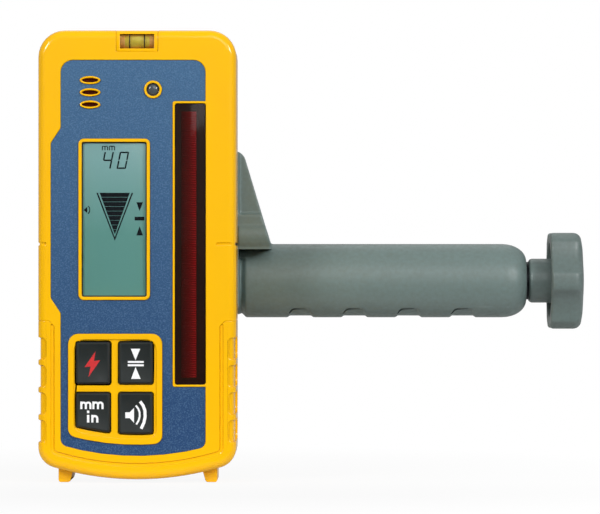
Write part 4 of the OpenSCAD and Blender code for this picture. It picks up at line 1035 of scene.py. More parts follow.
def printed(name: str, outlines: Sequence[Sequence[Point]], y: float, thick: float, finish: Finish, body: str,
            slot: str) -> None:
    """Makes thin raised figures, such as ink or display segments.

    Args:
        name: the piece's name.
        outlines: one closed outline for each figure.
        y: level of the surface that carries them.
        thick: their thickness.
        finish: their surface.
        body: the CAD body that they ride on.
        slot: the record's material slot.
    """
    bm = bmesh.new()
    for i, outline in enumerate(outlines):
        skin(bm, [flat(outline, y - thick - i * COAT_STEP), flat(outline, y)])
    split_caps(bm)
    place(finish_mesh(bm, name, 30), finish, body, slot)


# Display

@dataclass
class Display:
    """The liquid-crystal display: its field, its figures and the pane over it."""

    x0: float = -21.1
    x1: float = 3.6
    z0: float = -20.1
    z1: float = 39.0
    radius: float = 0.8
    glass_gap: float = 0.1
    glass_side: float = 0.8
    ledge: float = 4.0
    glass_back: float = -40.2
    shadow_line_width: float = 0.32
    figure_rise: float = 0.04
    unit_line: float = 0.34
    wave_line: float = 0.36
    digit_slant: float = 0.2
    bar_count: int = 9
    # From here on in pixels of the photograph
    digits: tuple[tuple[float, str], ...] = ((101.0, "fgbc"), (116.3, "abcdef"))
    digit_top: float = 151.6
    digit_width: float = 9.4
    digit_height: float = 17.2
    segment_width: float = 1.45
    segment_gap: float = 0.4
    unit_columns: Point = (102.2, 109.2)
    unit_top: float = 146.1
    unit_low: float = 150.2
    unit_pitch: float = 2.6
    wedge_sides: Point = (96.2, 133.0)
    wedge_rows: Point = (192.7, 240.6)
    wedge_line: Point = (1.5, 3.4)
    bars_half: float = 15.1
    bars_depth: float = 41.6
    bar_gap: float = 0.34
    arrow_down: Drawing = ((136.2, 202.2), (142.8, 202.2), (139.5, 210.9))
    arrow_bar: Drawing = ((134.5, 216.7), (144.1, 216.7), (144.1, 220.4), (134.5, 220.4))
    arrow_up: Drawing = ((136.2, 235.4), (139.5, 226.3), (142.8, 235.4))
    horn: Drawing = ((83.3, 209.9), (87.1, 206.8), (87.1, 213.0))
    wave: Drawing = ((88.0, 205.8), (89.2, 207.7), (89.6, 209.8), (89.2, 211.9), (88.0, 213.8))

    def build(self) -> None:
        """Builds the glass, the figures and the pane."""
        self.glass()
        self.pane()
        self.units_and_digits()
        self.wedge()
        self.arrows()
        self.sound_icon()

    def glass(self) -> None:
        """Makes the cell: polished front glass on a wider rear glass, and a dark ring round the field that is
        painted shadow of the recess's edge.
        """
        bm = bmesh.new()
        gap, side, seam = self.glass_gap, self.glass_side, LEVELS.wall + self.glass_gap
        slab(bm, rect(self.x0 + gap, self.z0 + gap, self.x1 - gap, self.z1 - gap, self.radius - gap),
             LEVELS.display, seam, 0.1)
        slab(bm, rect(self.x0 - side, self.z0 - side, self.x1 + side, self.z1 + self.ledge, 0.4), seam,
             self.glass_back, 0.08)
        place(finish_mesh(bm, "display_glass"), Finishes.LCD_FIELD, "receiver", "", "lcd_panel")
        # a dark ring round the field, in the seal's finish: painted shadow of the recess's inner edge
        border = rect(self.x0 + 0.02, self.z0 + 0.02, self.x1 - 0.02, self.z1 - 0.02, 0.75)
        bm = bmesh.new()
        ridge(bm, border, offset(border, -self.shadow_line_width), LEVELS.display - 0.16, LEVELS.display, 0.05, 2)
        place(finish_mesh(bm, "display_shadow_line"), Finishes.SEAL, "receiver", "seal_rubber")

    def pane(self) -> None:
        """Makes the clear pane, flush with the front."""
        bm = bmesh.new()
        slab(bm, rect(self.x0, self.z0, self.x1, self.z1, self.radius), LEVELS.pane, LEVELS.display - 0.2,
             0.15)
        place(finish_mesh(bm, "display_pane"), Finishes.CLEAR_PANE, "receiver", "", "lcd_window")

    def segment_digit(self, left: float, lit: str) -> list[list[Point]]:
        """Draws one slanted seven-segment figure.

        Args:
            left: column of its lower left corner in the photograph.
            lit: letters of the lit segments, from a at the top round to f, and g in the middle.
        Returns:
            One outline for each lit segment.
        """
        t, gap, top = self.segment_width, self.segment_gap, self.digit_top
        mid, low, right = top + self.digit_height / 2, top + self.digit_height, left + self.digit_width
        flats = {"a": top, "g": mid - t / 2, "d": low - t}
        shapes = []
        for letter in lit:
            if letter in flats:
                y = flats[letter]
                corners = [(left + gap + t * 0.3, y), (right - gap - t * 0.3, y), (right - gap - t, y + t),
                           (left + gap + t, y + t)]
                if letter == "d":
                    corners = [(left + gap + t, y), (right - gap - t, y), (right - gap, y + t),
                               (left + gap, y + t)]
                if letter == "g":
                    corners = [(left + gap + t / 2, y), (right - gap - t / 2, y), (right - gap, y + t / 2),
                               (right - gap - t / 2, y + t), (left + gap + t / 2, y + t),
                               (left + gap, y + t / 2)]
            else:
                x = right - t if letter in "bc" else left
                y0, y1 = (top, mid) if letter in "bf" else (mid, low)
                corners = [(x, y0 + gap), (x + t, y0 + gap), (x + t, y1 - gap), (x, y1 - gap)]
            shapes.append([(x + (low - y) * self.digit_slant, y) for x, y in corners])
        return [photo_points(*shape) for shape in shapes]

    def units_and_digits(self) -> None:
        """Draws the unit sign and the two-figure reading."""
        figures = [shape for left, lit in self.digits for shape in self.segment_digit(left, lit)]
        top, low, pitch = self.unit_top, self.unit_low, self.unit_pitch
        for left in self.unit_columns:
            lines = [((left, low), (left, top + 0.2))]
            lines += [((left + k * pitch, low), (left + k * pitch, top + 0.5)) for k in (1, 2)]
            lines.append(((left, top), (left + 2 * pitch, top)))
            figures += [stroke(photo_points(*line), self.unit_line) for line in lines]
        self.shown("display_reading", figures)

    def shown(self, name: str, figures: Sequence[Sequence[Point]]) -> None:
        """Makes a group of figures that the display shows."""
        printed(name, figures, LEVELS.display, self.figure_rise, Finishes.LCD_SEGMENT, "receiver",
                "display_glass")

    def wedge(self) -> None:
        """Draws the tapering stack of bars inside its open outline."""
        (left, right), (top, tip), (line, foot) = self.wedge_sides, self.wedge_rows, self.wedge_line
        middle = (left + right) / 2
        figures = [photo_points((left, top), (left + line, top), (middle, tip - foot), (middle, tip)),
                   photo_points((right, top), (middle, tip), (middle, tip - foot), (right - line, top))]
        half, depth = self.bars_half, self.bars_depth
        pitch = depth / self.bar_count
        for i in range(self.bar_count):
            y0, y1 = top + i * pitch, top + (i + 1) * pitch - self.bar_gap
            wide, narrow = (half * (top + depth - y) / depth for y in (y0, y1))
            figures.append(photo_points((middle - wide, y0), (middle + wide, y0), (middle + narrow, y1),
                                        (middle - narrow, y1)))
        self.shown("display_wedge", figures)

    def arrows(self) -> None:
        """Draws the deadband arrows and their bar."""
        drawings = (self.arrow_down, self.arrow_bar, self.arrow_up)
        self.shown("display_arrows", [photo_points(*drawing) for drawing in drawings])

    def sound_icon(self) -> None:
        """Draws the small loudspeaker sign."""
        figures = [photo_points(*self.horn), stroke(photo_points(*self.wave), self.wave_line)]
        self.shown("display_sound_icon", figures)


# Guard

@dataclass
class GripGuard:
    """The lower guard: its grip pockets run out through the rounded front edge."""

    half_width: float = 38.0
    inner_x: float = 35.0
    first_top: float = -35.96
    pitch: float = 10.53
    height: float = 8.35
    depth: float = 0.85
    ease: float = 0.03
    back_y: float = -12.0
    corner: float = 2.2
    edge: float = 3.2
    count: int = 4
    ahead: float = 2.0
    core_low: float = -100.0
    core_back: float = -5.0
    core_corner: float = 4.0

    def build(self) -> None:
        """Cuts the pockets into a copy of the guard and rounds its edges."""
        item = softened("lower_guard", "guard_shown", 0.3, clamp=False, cut=self.pockets())
        place(item, Finishes.YELLOW_ABS, "receiver", "", "lower_guard")

    def pockets(self) -> bpy.types.Object:
        """Makes the form that all pockets are cut with; it starts ahead of the guard and beside it.

        Returns:
            The pockets' sides, with everything deeper than their floor taken off.
        """
        tall, front, core = bmesh.new(), bmesh.new(), bmesh.new()
        start = LEVELS.front - self.ahead
        for i in range(self.count):
            top = self.first_top - i * self.pitch + self.ease
            low = top - self.height - 2 * self.ease
            back = self.back_y + self.ease
            side = rounded([(start, low, 0), (back, low, self.corner), (back, top, self.corner),
                            (start, top, 0)], 6)
            for way in (-1, 1):
                near, far = way * (self.inner_x - 1), way * (self.half_width + self.ahead)
                skin(tall, [[Vector((x, y, z)) for y, z in side] for x in sorted((near, far))])
                x0, x1 = sorted((way * self.inner_x, way * (self.half_width + 3 * self.ahead)))
                slab(front, rect(x0, low - 0.001, x1, top + 0.001, 1.5, 5), start - 1, 0.0, 0.1)
        half = self.half_width - self.depth
        slab(core, rect(-half, self.core_low, half, 0, self.core_corner), LEVELS.front + self.depth,
             self.core_back, self.edge - self.depth, 10)
        form = finish_mesh(tall, "pocket_sides")
        cut_by(form, finish_mesh(front, "pocket_fronts"))
        cut_by(form, finish_mesh(core, "pocket_floors"), "DIFFERENCE")
        return form


# Screws, springs and cells

@dataclass(frozen=True)
class Thread:
    """A helical thread; its root and flank are shares of the pitch, and turn is -1 for a left hand."""

    lead: float
    pitch: float
    depth: float
    turn: int = 1
    root: float = 0.28
    flank: float = 0.2

    def radius(self, s: float, angle: float, crest: float) -> float:
        """Returns the thread's radius at a place.

        Args:
            s: distance along the axis.
            angle: angle round the axis in radians.
            crest: the outer radius.
        Returns:
            The radius on the trapezoid of crest, flanks and root.
        """
        phase = ((s - self.turn * self.lead * angle / math.tau) / self.pitch) % 1.0
        rise = min(max((abs(phase - 0.5) - self.root / 2) / self.flank, 0.0), 1.0)
        return crest - self.depth * (1 - rise)


def threaded(bm: bmesh.types.BMesh, stations: Sequence[Place], thread: Thread, centre: Place, axis: str,
             steps: int = 36) -> None:
    """Adds a closed rod with a thread.

    Args:
        bm: the mesh that gets it.
        stations: distance along the axis, radius, and how much of the thread's depth shows there.
        thread: the thread.
        centre: the point where the distance is 0.
        axis: "X" or "Y".
        steps: number of sides.
    """
    along, u = AXES[axis]
    v = along.cross(u)
    rings = []
    for s, crest, share in stations:
        ring = []
        for i in range(steps):
            angle = math.tau * i / steps
            radius = crest + (thread.radius(s, angle, crest) - crest) * share
            ring.append(Vector(centre) + along * s + (u * math.cos(angle) + v * math.sin(angle)) * radius)
        rings.append(ring)
    skin(bm, rings)


def thread_stations(start: float, end: float, crest: float, step: float) -> list[Place]:
    """Lists the stations of a thread that runs out over its last four steps at both ends.

    Args:
        start: where the thread starts along the axis.
        end: where it ends.
        crest: its outer radius.
        step: distance between stations.
    Returns:
        For each station its distance, its radius and the share of the thread's depth.
    """
    count = round((end - start) / step)
    return [(start + (end - start) * i / count, crest, min(i / 4, (count - i) / 4, 1.0))
            for i in range(count + 1)]


@dataclass
class ClampScrew:
    """The long two-start trapezoid screw: a threaded front and a plain shank under the knob."""

    start: float = 47.0
    thread_end: float = 129.5
    end: float = 168.1
    radius: float = 3.98
    bevel: float = 0.9
    step: float = 0.21
    thread: Thread = Thread(lead=5.0, pitch=2.5, depth=0.7, turn=-1)

    def build(self) -> None:
        """Builds the screw as one turned piece."""
        stations = [(self.start, self.radius - self.bevel, 0.0)]
        stations += thread_stations(self.start + self.bevel, self.thread_end, self.radius, self.step)
        stations += [(self.thread_end + 0.4, self.radius, 0.0), (self.end - 0.3, self.radius, 0.0),
                     (self.end, self.radius - 0.3, 0.0)]
        bm = bmesh.new()
        threaded(bm, stations, self.thread, (0.0, CLAMP_Y, CLAMP_Z), "X")
        place(finish_mesh(bm, "clamp_spindle", 40), Finishes.ZINC_STEEL, "knob", "", "clamp_screw")


@dataclass
class MountScrew:
    """The captive coin screw: a knurled head with its slot, a grooved neck and a threaded end."""

    z: float = 18.0
    tip: float = -14.8
    head_back: float = -4.0
    head_top: float = -1.0
    head_radius: float = 6.98
    shaft_radius: float = 2.43
    groove: Place = (-8.4, -5.2, 1.7)
    slot_width: float = 1.8
    slot_depth: float = 1.5
    teeth: int = 56
    tooth_depth: float = 0.3
    step: float = 0.08
    thread: Thread = Thread(lead=0.8, pitch=0.8, depth=0.42)

    def build(self) -> None:
        """Builds the head with its slot, and the threaded shaft."""
        self.head()
        self.shaft()

    def head(self) -> None:
        """Makes the knurled head: each ring has its level, its radius and the share of the knurl's depth."""
        back, top, r = self.head_back, self.head_top, self.head_radius
        steps = self.teeth * 4
        angles = [math.tau * k / steps for k in range(steps)]
        rings = []
        for y, radius, knurl in ((back, 2.0, 0), (back, r - 0.5, 0), (back + 0.4, r, 0.2), (back + 0.6, r, 1),
                                 (top - 0.6, r, 1), (top - 0.35, r, 0.2), (top, r - 0.5, 0), (top, 2.0, 0)):
            radii = [radius - knurl * self.tooth_depth * (i % 4 in (1, 2)) for i in range(steps)]
            rings.append([Vector((math.cos(a) * reach, y, self.z + math.sin(a) * reach))
                          for a, reach in zip(angles, radii)])
        bm = bmesh.new()
        skin(bm, rings)
        head = finish_mesh(bm, "coin_head", 30)
        half = self.slot_width / 2
        bm = bmesh.new()
        slab(bm, rect(-r - 1, self.z - half, r + 1, self.z + half, 0.2, 2), top - self.slot_depth, top + 1,
             0.15)
        cut_by(head, finish_mesh(bm, "slot_tool"), "DIFFERENCE")
        smooth_by_angle(head, DRESS_ANGLE)
        place(head, Finishes.ZINC_STEEL, "mount_screw", "", "mount_screw")

    def shaft(self) -> None:
        """Makes the shaft: a threaded end and a grooved neck up into the head."""
        low, high, neck = self.groove
        r = self.shaft_radius
        stations = [(self.tip, r - 0.5, 0.0), *thread_stations(self.tip + 0.5, low - 0.4, r, self.step),
                    (low - 0.2, r, 0.0), (low, neck, 0.0), (high, neck, 0.0), (high + 0.2, r, 0.0),
                    (self.head_back + 0.5, r, 0.0)]
        bm = bmesh.new()
        threaded(bm, stations, self.thread, (0.0, 0.0, self.z), "Y", 32)
        place(finish_mesh(bm, "coin_shaft", 40), Finishes.ZINC_STEEL, "mount_screw", "screw_steel")


def wire(bm: bmesh.types.BMesh, path: Sequence[Vector], radius: float, sides: int = 8) -> None:
    """Adds a round wire along a path.

    Args:
        bm: the mesh that gets it.
        path: the wire's middle line.
        radius: the wire's radius.
        sides: number of sides.
    """
    rings = []
    normal = (path[1] - path[0]).orthogonal().normalized()
    for i, point in enumerate(path):
        ahead = (path[min(i + 1, len(path) - 1)] - path[max(i - 1, 0)]).normalized()
        normal = (normal - ahead * normal.dot(ahead)).normalized()
        side = ahead.cross(normal)
        rings.append([point + (normal * math.cos(a) + side * math.sin(a)) * radius
                      for a in (math.tau * k / sides for k in range(sides))])
    skin(bm, rings)


@dataclass
class CellSprings:
    """The two conical springs of the battery compartment, pressed to their working height."""

    low: float = -82.5
    high: float = -29.5
    height: float = 2.2
    base_radius: float = 3.1
    tip_radius: float = 1.7
    wire_radius: float = 0.28
    turns: float = 3.5
    turn_steps: int = 28
    flat_share: float = 0.12

    def build(self) -> None:
        """Winds both springs; the flat share of the wire lies in a level ring at each end."""
        bm = bmesh.new()
        steps = int(self.turns * self.turn_steps)
        climb = 1 - 2 * self.flat_share
        for x, foot, way in ((-CELL_X, self.low, 1), (CELL_X, self.high, -1)):
            path = []
            for t in (i / steps for i in range(steps + 1)):
                share = min(max((t - self.flat_share) / climb, 0), 1)
                rise = self.wire_radius + (self.height - 2 * self.wire_radius) * share
                radius = self.base_radius + (self.tip_radius - self.base_radius) * t
                turn = math.tau * self.turns * t
                path.append(Vector((x + radius * math.cos(turn), CELL_Y + radius * math.sin(turn),
                                    foot + way * rise)))
            wire(bm, path, self.wire_radius)
        place(finish_mesh(bm, "cell_springs", 60), Finishes.SPRING_STEEL, "receiver", "", "battery_springs")


@dataclass
class Cells:
    """The two AA cells, head to tail: a sleeve with a copper-coloured band, and plated ends."""

    radius: float = 7.08
    length: float = 50.5
    left_low: float = -80.3
    right_low: float = -82.2
    button: float = 1.1
    band: float = 13.0

    def build(self) -> None:
        """Builds the sleeves, their bands and the metal ends of both cells."""
        sleeves, bands, ends = bmesh.new(), bmesh.new(), bmesh.new()
        r, top = self.radius, self.length - self.button
        seam = top - self.band
        for x, low, way in ((-CELL_X, self.left_low, 1), (CELL_X, self.right_low + self.length, -1)):
            for bm, profile in (
                    (sleeves, [(0.05, r - 1.6), (0.0, r - 0.9), (0.12, r - 0.35), (0.45, r), (seam, r),
                               (seam, r - 0.3), (0.6, r - 0.3), (0.05, r - 1.6)]),
                    (bands, [(seam, r - 0.3), (seam, r), (top - 0.45, r), (top - 0.12, r - 0.35),
                             (top, r - 0.9), (top - 0.05, r - 1.6), (top - 0.6, r - 0.3), (seam, r - 0.3)]),
                    (ends, [(0.1, 0.0), (0.1, r - 0.5), (top - 0.3, r - 0.5), (top - 0.3, 2.8),
                            (self.length - 0.2, 2.7), (self.length, 2.4), (self.length, 0.0)])):
                turned(bm, [(way * s, radius) for s, radius in profile], (x, CELL_Y, low), "Z", 56)
        place(finish_mesh(sleeves, "cell_sleeves"), Finishes.CELL_SLEEVE, "receiver", "", "battery_cells")
        place(finish_mesh(bands, "cell_bands"), Finishes.CELL_BAND, "receiver", "cell_case")
        place(finish_mesh(ends, "cell_ends"), Finishes.CELL_CAN, "receiver", "cell_case")


# Vial holder

@dataclass
class VialHolder:
    """The level's insert, its front edge following the rounding of the housing's top edge."""

    half_width: float = 38.0
    top: float = 82.0
    corner: float = 10.3
    edge: float = 3.2
    back: float = -22.0
    width: float = 0.12

    def build(self) -> None:
        """Cuts a copy of the solid to the housing's outside."""
        item = softened("vial_holder", "vial_insert", self.width)
        bm = bmesh.new()
        half = self.half_width
        outline = rounded([(-half, 0, 0), (half, 0, 0), (half, self.top, self.corner),
                           (-half, self.top, self.corner)], 12)
        slab(bm, outline, LEVELS.front, self.back, self.edge, 10)
        cut_by(item, finish_mesh(bm, "housing_outside"))
        smooth_by_angle(item, DRESS_ANGLE)
        place(item, Finishes.YELLOW_ABS, "receiver", "", "vial_holder")


# Keys

@dataclass
class Keypad:
    """Four soft keys with their printed signs."""

    columns: tuple[float, float] = (-23.4, -7.05)
    width: float = 13.2
    row_tops: tuple[float, float] = (-37.4, -56.85)
    row_height: float = 16.3
    inset: float = 17.3
    corner: float = 1.15
    ink: float = 0.03
    arc_radius: float = 114.0
    arc_height: float = 23.7
    near_line: float = 0.72
    far_line: float = 1.15
    # From here on in pixels of the photograph; a letter has its left edge, its foot, width and stroke
    bolt_sign: Drawing = ((95.6, 351.3), (84.7, 367.0), (90.7, 366.4), (88.6, 377.0), (100.3, 360.2),
                          (94.1, 360.8))
    wedge_down: Drawing = ((130.9, 348.7), (140.3, 348.7), (135.6, 360.2))
    wedge_up: Drawing = ((135.6, 366.9), (140.7, 378.8), (131.3, 378.8))
    bar_sides: Point = (127.9, 143.9)
    bar_rows: Drawing = ((360.9, 362.8), (364.2, 366.2))
    letters: tuple[tuple[str, float, float, float, float], ...] = (
        ("m", 80.4, 409.0, 11.2, 2.1), ("m", 92.5, 409.0, 11.2, 2.1), ("i", 87.1, 422.4, 2.4, 2.4),
        ("n", 91.4, 422.4, 7.1, 2.2))
    letter_height: float = 7.6
    horn: Drawing = ((125.4, 412.2), (129.8, 412.2), (134.1, 407.8), (134.1, 422.7), (129.8, 418.0),
                     (125.4, 418.0))
    near_wave: Drawing = ((135.9, 405.4), (138.4, 408.6), (139.7, 412.2), (139.8, 416.4), (138.7, 420.4),
                          (136.4, 424.4))
    far_wave: Drawing = ((140.2, 401.4), (143.2, 405.4), (145.0, 410.4), (145.2, 416.8), (144.0, 422.6),
                         (141.2, 428.6))

    def build(self) -> None:
        """Builds each key with its sign."""
        self.cap("key_power", 0, 0)
        self.cap("key_deadband", 1, 0)
        self.cap("key_units", 0, 1)
        self.cap("key_sound", 1, 1)
        self.bolt()
        self.deadband_sign()
        self.unit_letters()
        self.speaker()

    def outline(self, column: int, row: int) -> list[Point]:
        """Draws a key's outline; the lower row follows the body's curved foot.

        Args:
            column: the key's column.
            row: its row.
        Returns:
            The outline.
        """
        x0, top = self.columns[column], self.row_tops[row]
        x1 = x0 + self.width
        if row == 0:
            return rect(x0, top - self.row_height, x1, top, self.corner)
        radius = self.arc_radius - self.inset
        low0, low1 = (self.arc_height - math.sqrt(radius ** 2 - x ** 2) for x in (x0, x1))
        return rounded([(x0, low0, self.corner), (x1, low1, self.corner), (x1, top, self.corner),
                        (x0, top, self.corner)])

    def cap(self, name: str, column: int, row: int) -> None:
        """Makes one cap: straight sides, a soft shoulder and a slightly raised rim round a dished top.

        Args:
            name: the CAD node and body that it stands for.
            column: its column.
            row: its row.
        """
        outline = self.outline(column, row)
        front = LEVELS.key_top
        steps = [(0.0, LEVELS.key_back), (0.0, front + 1.25), (-0.1, front + 0.8), (-0.26, front + 0.46),
                 (-0.46, front + 0.22), (-0.68, front + 0.07), (-0.88, front), (-1.0, front + 0.03),
                 (-1.09, LEVELS.key_dish)]
        bm = bmesh.new()
        skin(bm, [flat(offset(outline, d), y) for d, y in steps])
        place(finish_mesh(bm, name + "_cap", 50), Finishes.KEY_SILICONE, name, "", name)

    def sign(self, name: str, outlines: Sequence[Sequence[Point]], finish: Finish, body: str) -> None:
        """Prints one key's sign."""
        printed(name, outlines, LEVELS.key_dish, self.ink, finish, body, "key_rubber")

    def bolt(self) -> None:
        """Prints the power key's bolt."""
        self.sign("bolt_sign", [photo_points(*self.bolt_sign)], Finishes.RED_INK, "key_power")

    def deadband_sign(self) -> None:
        """Prints the deadband key's two wedges and two bars."""
        left, right = self.bar_sides
        bars = [((left, top), (right, top), (right, low), (left, low)) for top, low in self.bar_rows]
        figures = [photo_points(*drawing) for drawing in (self.wedge_down, *bars, self.wedge_up)]
        self.sign("deadband_sign", figures, Finishes.WHITE_INK, "key_deadband")

    def letter(self, kind: str, left: float, base: float, width: float, line: float) -> list[list[Point]]:
        """Draws a plain m, n or i.

        Args:
            kind: which letter.
            left: column of its left edge in the photograph.
            base: row of its foot.
            width: its width.
            line: thickness of its strokes.
        Returns:
            One outline for each stroke.
        """
        start, top = left + line / 2, base - self.letter_height
        paths = [[(start, base), (start, top)]]
        if kind == "i":
            paths.append([(start, top - line * 0.75), (start, top - line * 1.8)])
        hoods = {"i": 0, "n": 1, "m": 2}[kind]
        for k in range(hoods):
            pitch = (width - line) / hoods
            x0, x1 = start + k * pitch, start + (k + 1) * pitch
            hood = arc(((x0 + x1) / 2, top + pitch / 2 + line / 2), pitch / 2, 180, 360)
            paths.append([*hood, (x1, base)])
        return [stroke(photo_points(*path), line * PHOTO_SCALE) for path in paths]

    def unit_letters(self) -> None:
        """Prints the two units, one above the other."""
        figures = [shape for letter in self.letters for shape in self.letter(*letter)]
        self.sign("unit_letters", figures, Finishes.WHITE_INK, "key_units")

    def speaker(self) -> None:
        """Prints the sound key's loudspeaker and its two waves."""
        figures = [photo_points(*self.horn), stroke(photo_points(*self.near_wave), self.near_line),
                   stroke(photo_points(*self.far_wave), self.far_line)]
        self.sign("speaker_sign", figures, Finishes.WHITE_INK, "key_sound")


# Sensor window, strobe and level

@dataclass
class SensorWindow:
    """The long filter window: a glossy dark pane over a ribbed light guide on a dark tray."""

    x0: float = 14.55
    x1: float = 26.25
    half_height: float = 53.8
    corner: float = 0.8
    pane_back: float = -43.55
    tray_face: float = -43.13
    back: float = -42.3
    guide_x0: float = 16.9
    guide_x1: float = 22.75
    guide_end: float = 51.3
    rib_pitch: float = 0.88
    rib_height: float = 0.34
    rib_steps: int = 4
    flatness: float = 0.72

    def build(self) -> None:
        """Builds the pane, the tray and the ribbed guide."""
        outline = rect(self.x0, -self.half_height, self.x1, self.half_height, self.corner)
        bm = bmesh.new()
        slab(bm, outline, LEVELS.pane, self.pane_back, 0.15)
        place(finish_mesh(bm, "filter_pane"), Finishes.FILTER_PANE, "receiver", "filter_window")
        bm = bmesh.new()
        slab(bm, outline, self.tray_face, self.back, 0.05)
        place(finish_mesh(bm, "filter_tray"), Finishes.FILTER_TRAY, "receiver", "", "sensor_window")
        self.guide()

    def guide(self) -> None:
        """Makes the light guide: a low bar with a rib at each step, steeper on its right side."""
        rows = []
        last = int(2 * self.guide_end / self.rib_pitch) * self.rib_steps
        section = [(0.0, 0.0), (0.02, 0.1), (0.35, 0.2), (0.75, 0.3), (0.96, 0.32), (1.0, 0.0)]
        for i in range(last + 1):
            z = -self.guide_end + i * self.rib_pitch / self.rib_steps
            rise = self.rib_height * (0.5 - 0.5 * math.cos(math.tau * (i % self.rib_steps) / self.rib_steps))
            share = self.flatness if 0 < i < last else 0
            rows.append([Vector((self.guide_x0 + (self.guide_x1 - self.guide_x0) * u,
                                 self.tray_face - ((d + rise) * share if d else 0), z)) for u, d in section])
        bm = bmesh.new()
        verts = [[bm.verts.new(p) for p in row] for row in rows]
        for low_row, high_row in zip(verts, verts[1:]):
            for a in range(len(section)):
                b = (a + 1) % len(section)
                bm.faces.new((low_row[a], low_row[b], high_row[b], high_row[a]))
        bmesh.ops.dissolve_degenerate(bm, dist=1e-5, edges=bm.edges)
        # the guide's red brightens to the right as a painted highlight
        place(finish_mesh(bm, "light_guide", 50), Finishes.RED_RIBS_PAINTED_LIGHT, "receiver", "filter_window")


@dataclass
class StrobeLens:
    """The small smoked lens at the top right, with a dark ring round it as painted shadow."""

    centre: Point = (6.1, 59.2)
    radius: float = 2.4
    top: float = -44.05
    shoulder: float = 0.75
    dome_height: float = 0.7
    thickness: float = 1.35
    shadow_ring_width: float = 0.4

    def build(self) -> None:
        """Builds the domed lens and the dark ring round it, a painted shadow."""
        x, z = self.centre
        shoulder, lens = self.top + self.shoulder, self.radius - self.shadow_ring_width - 0.02
        dome = [(self.top + self.thickness, 0.0), (self.top + self.thickness, lens), (shoulder, lens)]
        dome += [(shoulder - self.dome_height * math.sin(a), lens * math.cos(a))
                 for a in (math.pi / 2 * i / 10 for i in range(1, 10))]
        dome.append((shoulder - self.dome_height, 0.0))
        bm = bmesh.new()
        turned(bm, dome, (x, 0, z), "Y", 48)
        place(finish_mesh(bm, "strobe_dome"), Finishes.SMOKE_LENS, "receiver", "", "strobe_lens")
        # a dark ring round the lens, in the seal's finish: painted shadow of its recess
        face, foot, inside = self.top + 0.45, self.top + 1.5, self.radius - self.shadow_ring_width
        seat = [(face, inside), (face, self.radius), (foot, self.radius), (foot, inside), (face, inside)]
        bm = bmesh.new()
        turned(bm, seat, (x, 0, z), "Y", 48)
        place(finish_mesh(bm, "strobe_shadow_ring"), Finishes.SEAL, "receiver", "lens_grey")


@dataclass
class BubbleLevel:
    """The level in the top edge: a clear vial with two rings, a bubble and end plugs."""

    z: float = 77.7
    y: float = -40.5
    radius: float = 3.1
    length: float = 14.1
    bore: float = 2.3
    bevel: float = 0.2
    ring_x: float = 2.85
    ring_half: float = 0.22
    bubble_length: float = 4.6
    bubble_radius: float = 0.95
    bubble_shift: Point = (-0.9, -0.35)
    plug_length: float = 2.3
    plug_ribs: int = 4
    plug_groove: float = 0.5

    def build(self) -> None:
        """Builds the tube, the spirit, the bubble, the rings and the plugs."""
        half, r, bevel = self.length / 2, self.radius, self.bevel
        centre = (0.0, self.y, self.z)
        bm = bmesh.new()
        turned(bm, [(-half, 0), (-half, r - bevel), (-half + bevel, r), (half - bevel, r), (half, r - bevel),
                    (half, 0)], centre, "X", 56)
        place(finish_mesh(bm, "vial_body"), Finishes.VIAL_ACRYLIC_PAINTED_GLOW, "receiver", "", "vial_tube")
        inner = half - self.plug_length - 0.05
        barrel = [(-inner, 0.0)] + [(-inner + 2 * inner * i / 16,
                                     self.bore * (0.9 + 0.1 * math.sin(math.pi * i / 16))) for i in range(17)]
        bm = bmesh.new()
        turned(bm, [*barrel, (inner, 0.0)], centre, "X", 40)
        place(finish_mesh(bm, "vial_spirit"), Finishes.VIAL_SPIRIT, "receiver", "", "vial_liquid")
        self.bubble()
        self.rings()
        self.plugs()

    def plugs(self) -> None:
        """Makes the two grooved plugs that close the tube."""
        bm = bmesh.new()
        outer, inner = self.length / 2 - 0.1, self.length / 2 - self.plug_length
        pitch, root = (outer - inner) / self.plug_ribs, self.bore - self.plug_groove
        profile = [(inner, 0.0)]
        for k in range(self.plug_ribs):
            start = inner + k * pitch
            profile += [(start, root), (start + 0.04, self.bore), (start + pitch * 0.55, self.bore),
                        (start + pitch * 0.6, root)]
        for way in (-1, 1):
            turned(bm, [(way * s, r) for s, r in [*profile, (outer, 0.0)]], (0.0, self.y, self.z), "X", 40)
        place(finish_mesh(bm, "vial_plugs"), Finishes.VIAL_PLUG, "receiver", "vial_clear")

    def bubble(self) -> None:
        """Makes the bubble under the top of the barrel."""
        bm = bmesh.new()
        shift_y, shift_z = self.bubble_shift
        turned(bm, [(-self.bubble_length / 2 * math.cos(a), self.bubble_radius * math.sin(a) ** 0.6)
                    for a in (math.pi * i / 14 for i in range(15))],
               (0.0, self.y + shift_y, self.z + self.bore - self.bubble_radius + shift_z), "X", 32)
        place(finish_mesh(bm, "vial_air"), Finishes.BUBBLE_PAINTED_GLINT, "receiver", "", "vial_bubble")

    def rings(self) -> None:
        """Makes the two black rings on the tube."""
        bm = bmesh.new()
        low, high = self.radius - 0.1, self.radius + 0.02
        for x in (-self.ring_x, self.ring_x):
            left, right = x - self.ring_half, x + self.ring_half
            turned(bm, [(left, low), (left, high), (right, high), (right, low), (left, low)],
                   (0.0, self.y, self.z), "X", 56)
        place(finish_mesh(bm, "vial_rings"), Finishes.BLACK_INK, "receiver", "vial_clear")


def dress(node: str, finish: Finish) -> None:
    """Dresses a CAD node that keeps its own shape."""
    paint(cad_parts[node], finish)
    log.info("dressed %s", node)


@dataclass
class Softened:
    """A rigid CAD piece shown with rounded edges."""

    node: str
    finish: Finish
    body: str = "receiver"
    width: float = 0.3
    clamp: bool = True

    def build(self) -> None:
        """Rounds the node's edges and dresses the result."""
        item = softened(self.node, self.node + "_shown", self.width, clamp=self.clamp)
        place(item, self.finish, self.body, "", self.node)


